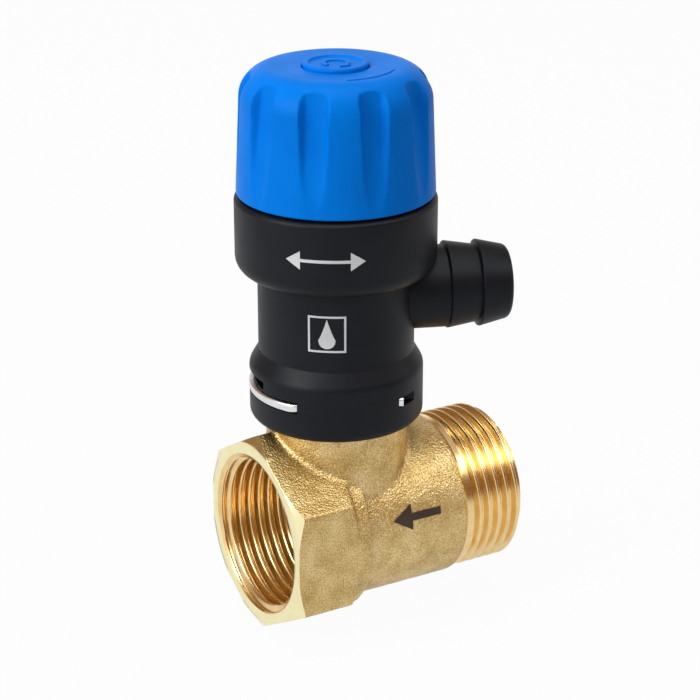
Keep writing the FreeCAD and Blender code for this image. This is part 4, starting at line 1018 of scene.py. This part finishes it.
studio = {
    "floor": -17.36, "size": 4000.0, "paper": 0.55, "glossShare": 0.74, "cameraShare": 0.22, "ambient": 0.42,
    "lamps": {"keyLamp": {"place": (-540, -30, 360), "power": 2.7, "size": 340},
              "overLamp": {"place": (20, 0, 650), "power": 1.5, "size": 450}},
    "lampGoal": (15, 0, 30), "eye": (-146.7, -285.5, 160.3), "goal": (17.22, -1.1, 29.1), "lens": 113.04,
    # what metal sees from below to above: pale floor, warm dark room, pale ceiling
    "room": [(0.46, (0.9, 0.9, 0.9)), (0.52, (0.24, 0.125, 0.05)), (0.64, (0.25, 0.135, 0.06)),
             (0.80, (0.27, 0.165, 0.09)), (0.97, (0.70, 0.68, 0.64))],
    "backdropWay": (0.46, 0.80, -0.30), "backdropEdge": (0.62, 0.85), "backdrop": 1.0,
    "stripY": -0.575, "stripZ": 0.818, "stripEdge": (0.962, 0.990), "strip": 3.2,
    "sideEdge": (-0.70, -0.92), "side": 0.9,
}


def whiteFor(tree):
    # 1 for rays from the camera, from gloss and from glass
    path = addNode(tree, "ShaderNodeLightPath", {}, {}).outputs
    both = calc(tree, "MAXIMUM", path["Is Camera Ray"], path["Is Glossy Ray"])
    return calc(tree, "MAXIMUM", both, path["Is Transmission Ray"]), path


def makeFloor():
    half, level = studio["size"] / 2, studio["floor"]
    corners = [(-half, -half, level), (half, -half, level), (half, half, level), (-half, half, level)]
    mesh = meshFrom("floor", corners, [[0, 1, 2, 3]])
    floor = newPiece("floor", mesh)
    paper = bpy.data.materials.new("whitePaper")
    paper.use_nodes = True
    tree = paper.node_tree
    tree.nodes.clear()
    seen, path = whiteFor(tree)
    matt = addNode(tree, "ShaderNodeBsdfDiffuse", {}, {"Color": (studio["paper"],) * 3 + (1,)}).outputs[0]
    glow = addNode(tree, "ShaderNodeEmission", {}, {"Color": (1, 1, 1, 1), "Strength": 1.0}).outputs[0]
    share = calc(tree, "MULTIPLY", seen, calc(
        tree, "MULTIPLY_ADD", path["Is Camera Ray"], studio["cameraShare"], studio["glossShare"]))
    mixed = addNode(tree, "ShaderNodeMixShader", {}, {0: share, 1: matt, 2: glow}).outputs[0]
    addNode(tree, "ShaderNodeOutputMaterial", {}, {"Surface": mixed})
    mesh.materials.append(paper)


def makeWorld():
    world = bpy.data.worlds.new("studio")
    bpy.context.scene.world = world
    world.use_nodes = True
    tree = world.node_tree
    tree.nodes.clear()
    path = addNode(tree, "ShaderNodeLightPath", {}, {}).outputs
    facing = addNode(tree, "ShaderNodeTexCoord", {}, {}).outputs["Generated"]
    parts = addNode(tree, "ShaderNodeSeparateXYZ", {}, {"Vector": facing}).outputs
    height = spread(tree, parts["Z"], -1.0, 1.0, 0.0, 1.0)
    shown = tint(tree, height, studio["room"])
    behind = addNode(tree, "ShaderNodeVectorMath", {"operation": "DOT_PRODUCT"}, {
        0: facing, 1: Vector(studio["backdropWay"]).normalized()}).outputs["Value"]
    backdrop = spread(tree, behind, *studio["backdropEdge"], 0.0, 1.0, "SMOOTHSTEP")
    # long soft light beside the run, up in front
    across = calc(tree, "SQRT", calc(tree, "SUBTRACT", 1.0, calc(tree, "MULTIPLY", parts["X"], parts["X"])))
    tilt = calc(tree, "MULTIPLY_ADD", parts["Y"], studio["stripY"],
                calc(tree, "MULTIPLY", parts["Z"], studio["stripZ"]))
    near = calc(tree, "DIVIDE", tilt, calc(tree, "ADD", across, 0.001))  # never divides by 0
    strip = spread(tree, near, *studio["stripEdge"], 0.0, 1.0, "SMOOTHSTEP")
    side = spread(tree, parts["X"], *studio["sideEdge"], 0.0, 1.0, "SMOOTHSTEP")
    for amount, key in ((backdrop, "backdrop"), (strip, "strip"), (side, "side")):
        level = studio[key]
        shown = addNode(tree, "ShaderNodeMix", {"data_type": "RGBA"}, {
            0: amount, 6: shown, 7: (level, level, level, 1)}).outputs[2]
    soft = addNode(tree, "ShaderNodeMix", {"data_type": "RGBA"}, {
        0: calc(tree, "MAXIMUM", path["Is Glossy Ray"], path["Is Transmission Ray"]),
        6: (studio["ambient"],) * 3 + (1,), 7: shown}).outputs[2]
    final = addNode(tree, "ShaderNodeMix", {"data_type": "RGBA"}, {
        0: path["Is Camera Ray"], 6: soft, 7: (1, 1, 1, 1)}).outputs[2]
    light = addNode(tree, "ShaderNodeBackground", {}, {"Color": final, "Strength": 1.0}).outputs[0]
    addNode(tree, "ShaderNodeOutputWorld", {}, {"Surface": light})


def aim(name, data, place, goal):
    held = newPiece(name, data)
    held.location = Vector(place) * mm
    held.rotation_euler = (Vector(goal) - Vector(place)).to_track_quat("-Z", "Y").to_euler()
    return held


def addLamp(name, sizes):
    lamp = bpy.data.lights.new(name, "AREA")
    lamp.shape = "SQUARE"
    lamp.energy = sizes["power"]
    lamp.size = sizes["size"] * mm
    aim(name, lamp, sizes["place"], studio["lampGoal"])


def addCamera():
    lens = bpy.data.cameras.new("view")
    lens.lens = studio["lens"]
    lens.sensor_width = 36
    bpy.context.scene.camera = aim("view", lens, studio["eye"], studio["goal"])


makeFloor()
makeWorld()
for name, sizes in studio["lamps"].items():
    addLamp(name, sizes)
addCamera()
bpy.context.scene.view_settings.view_transform = "Standard"
print("studio ready")
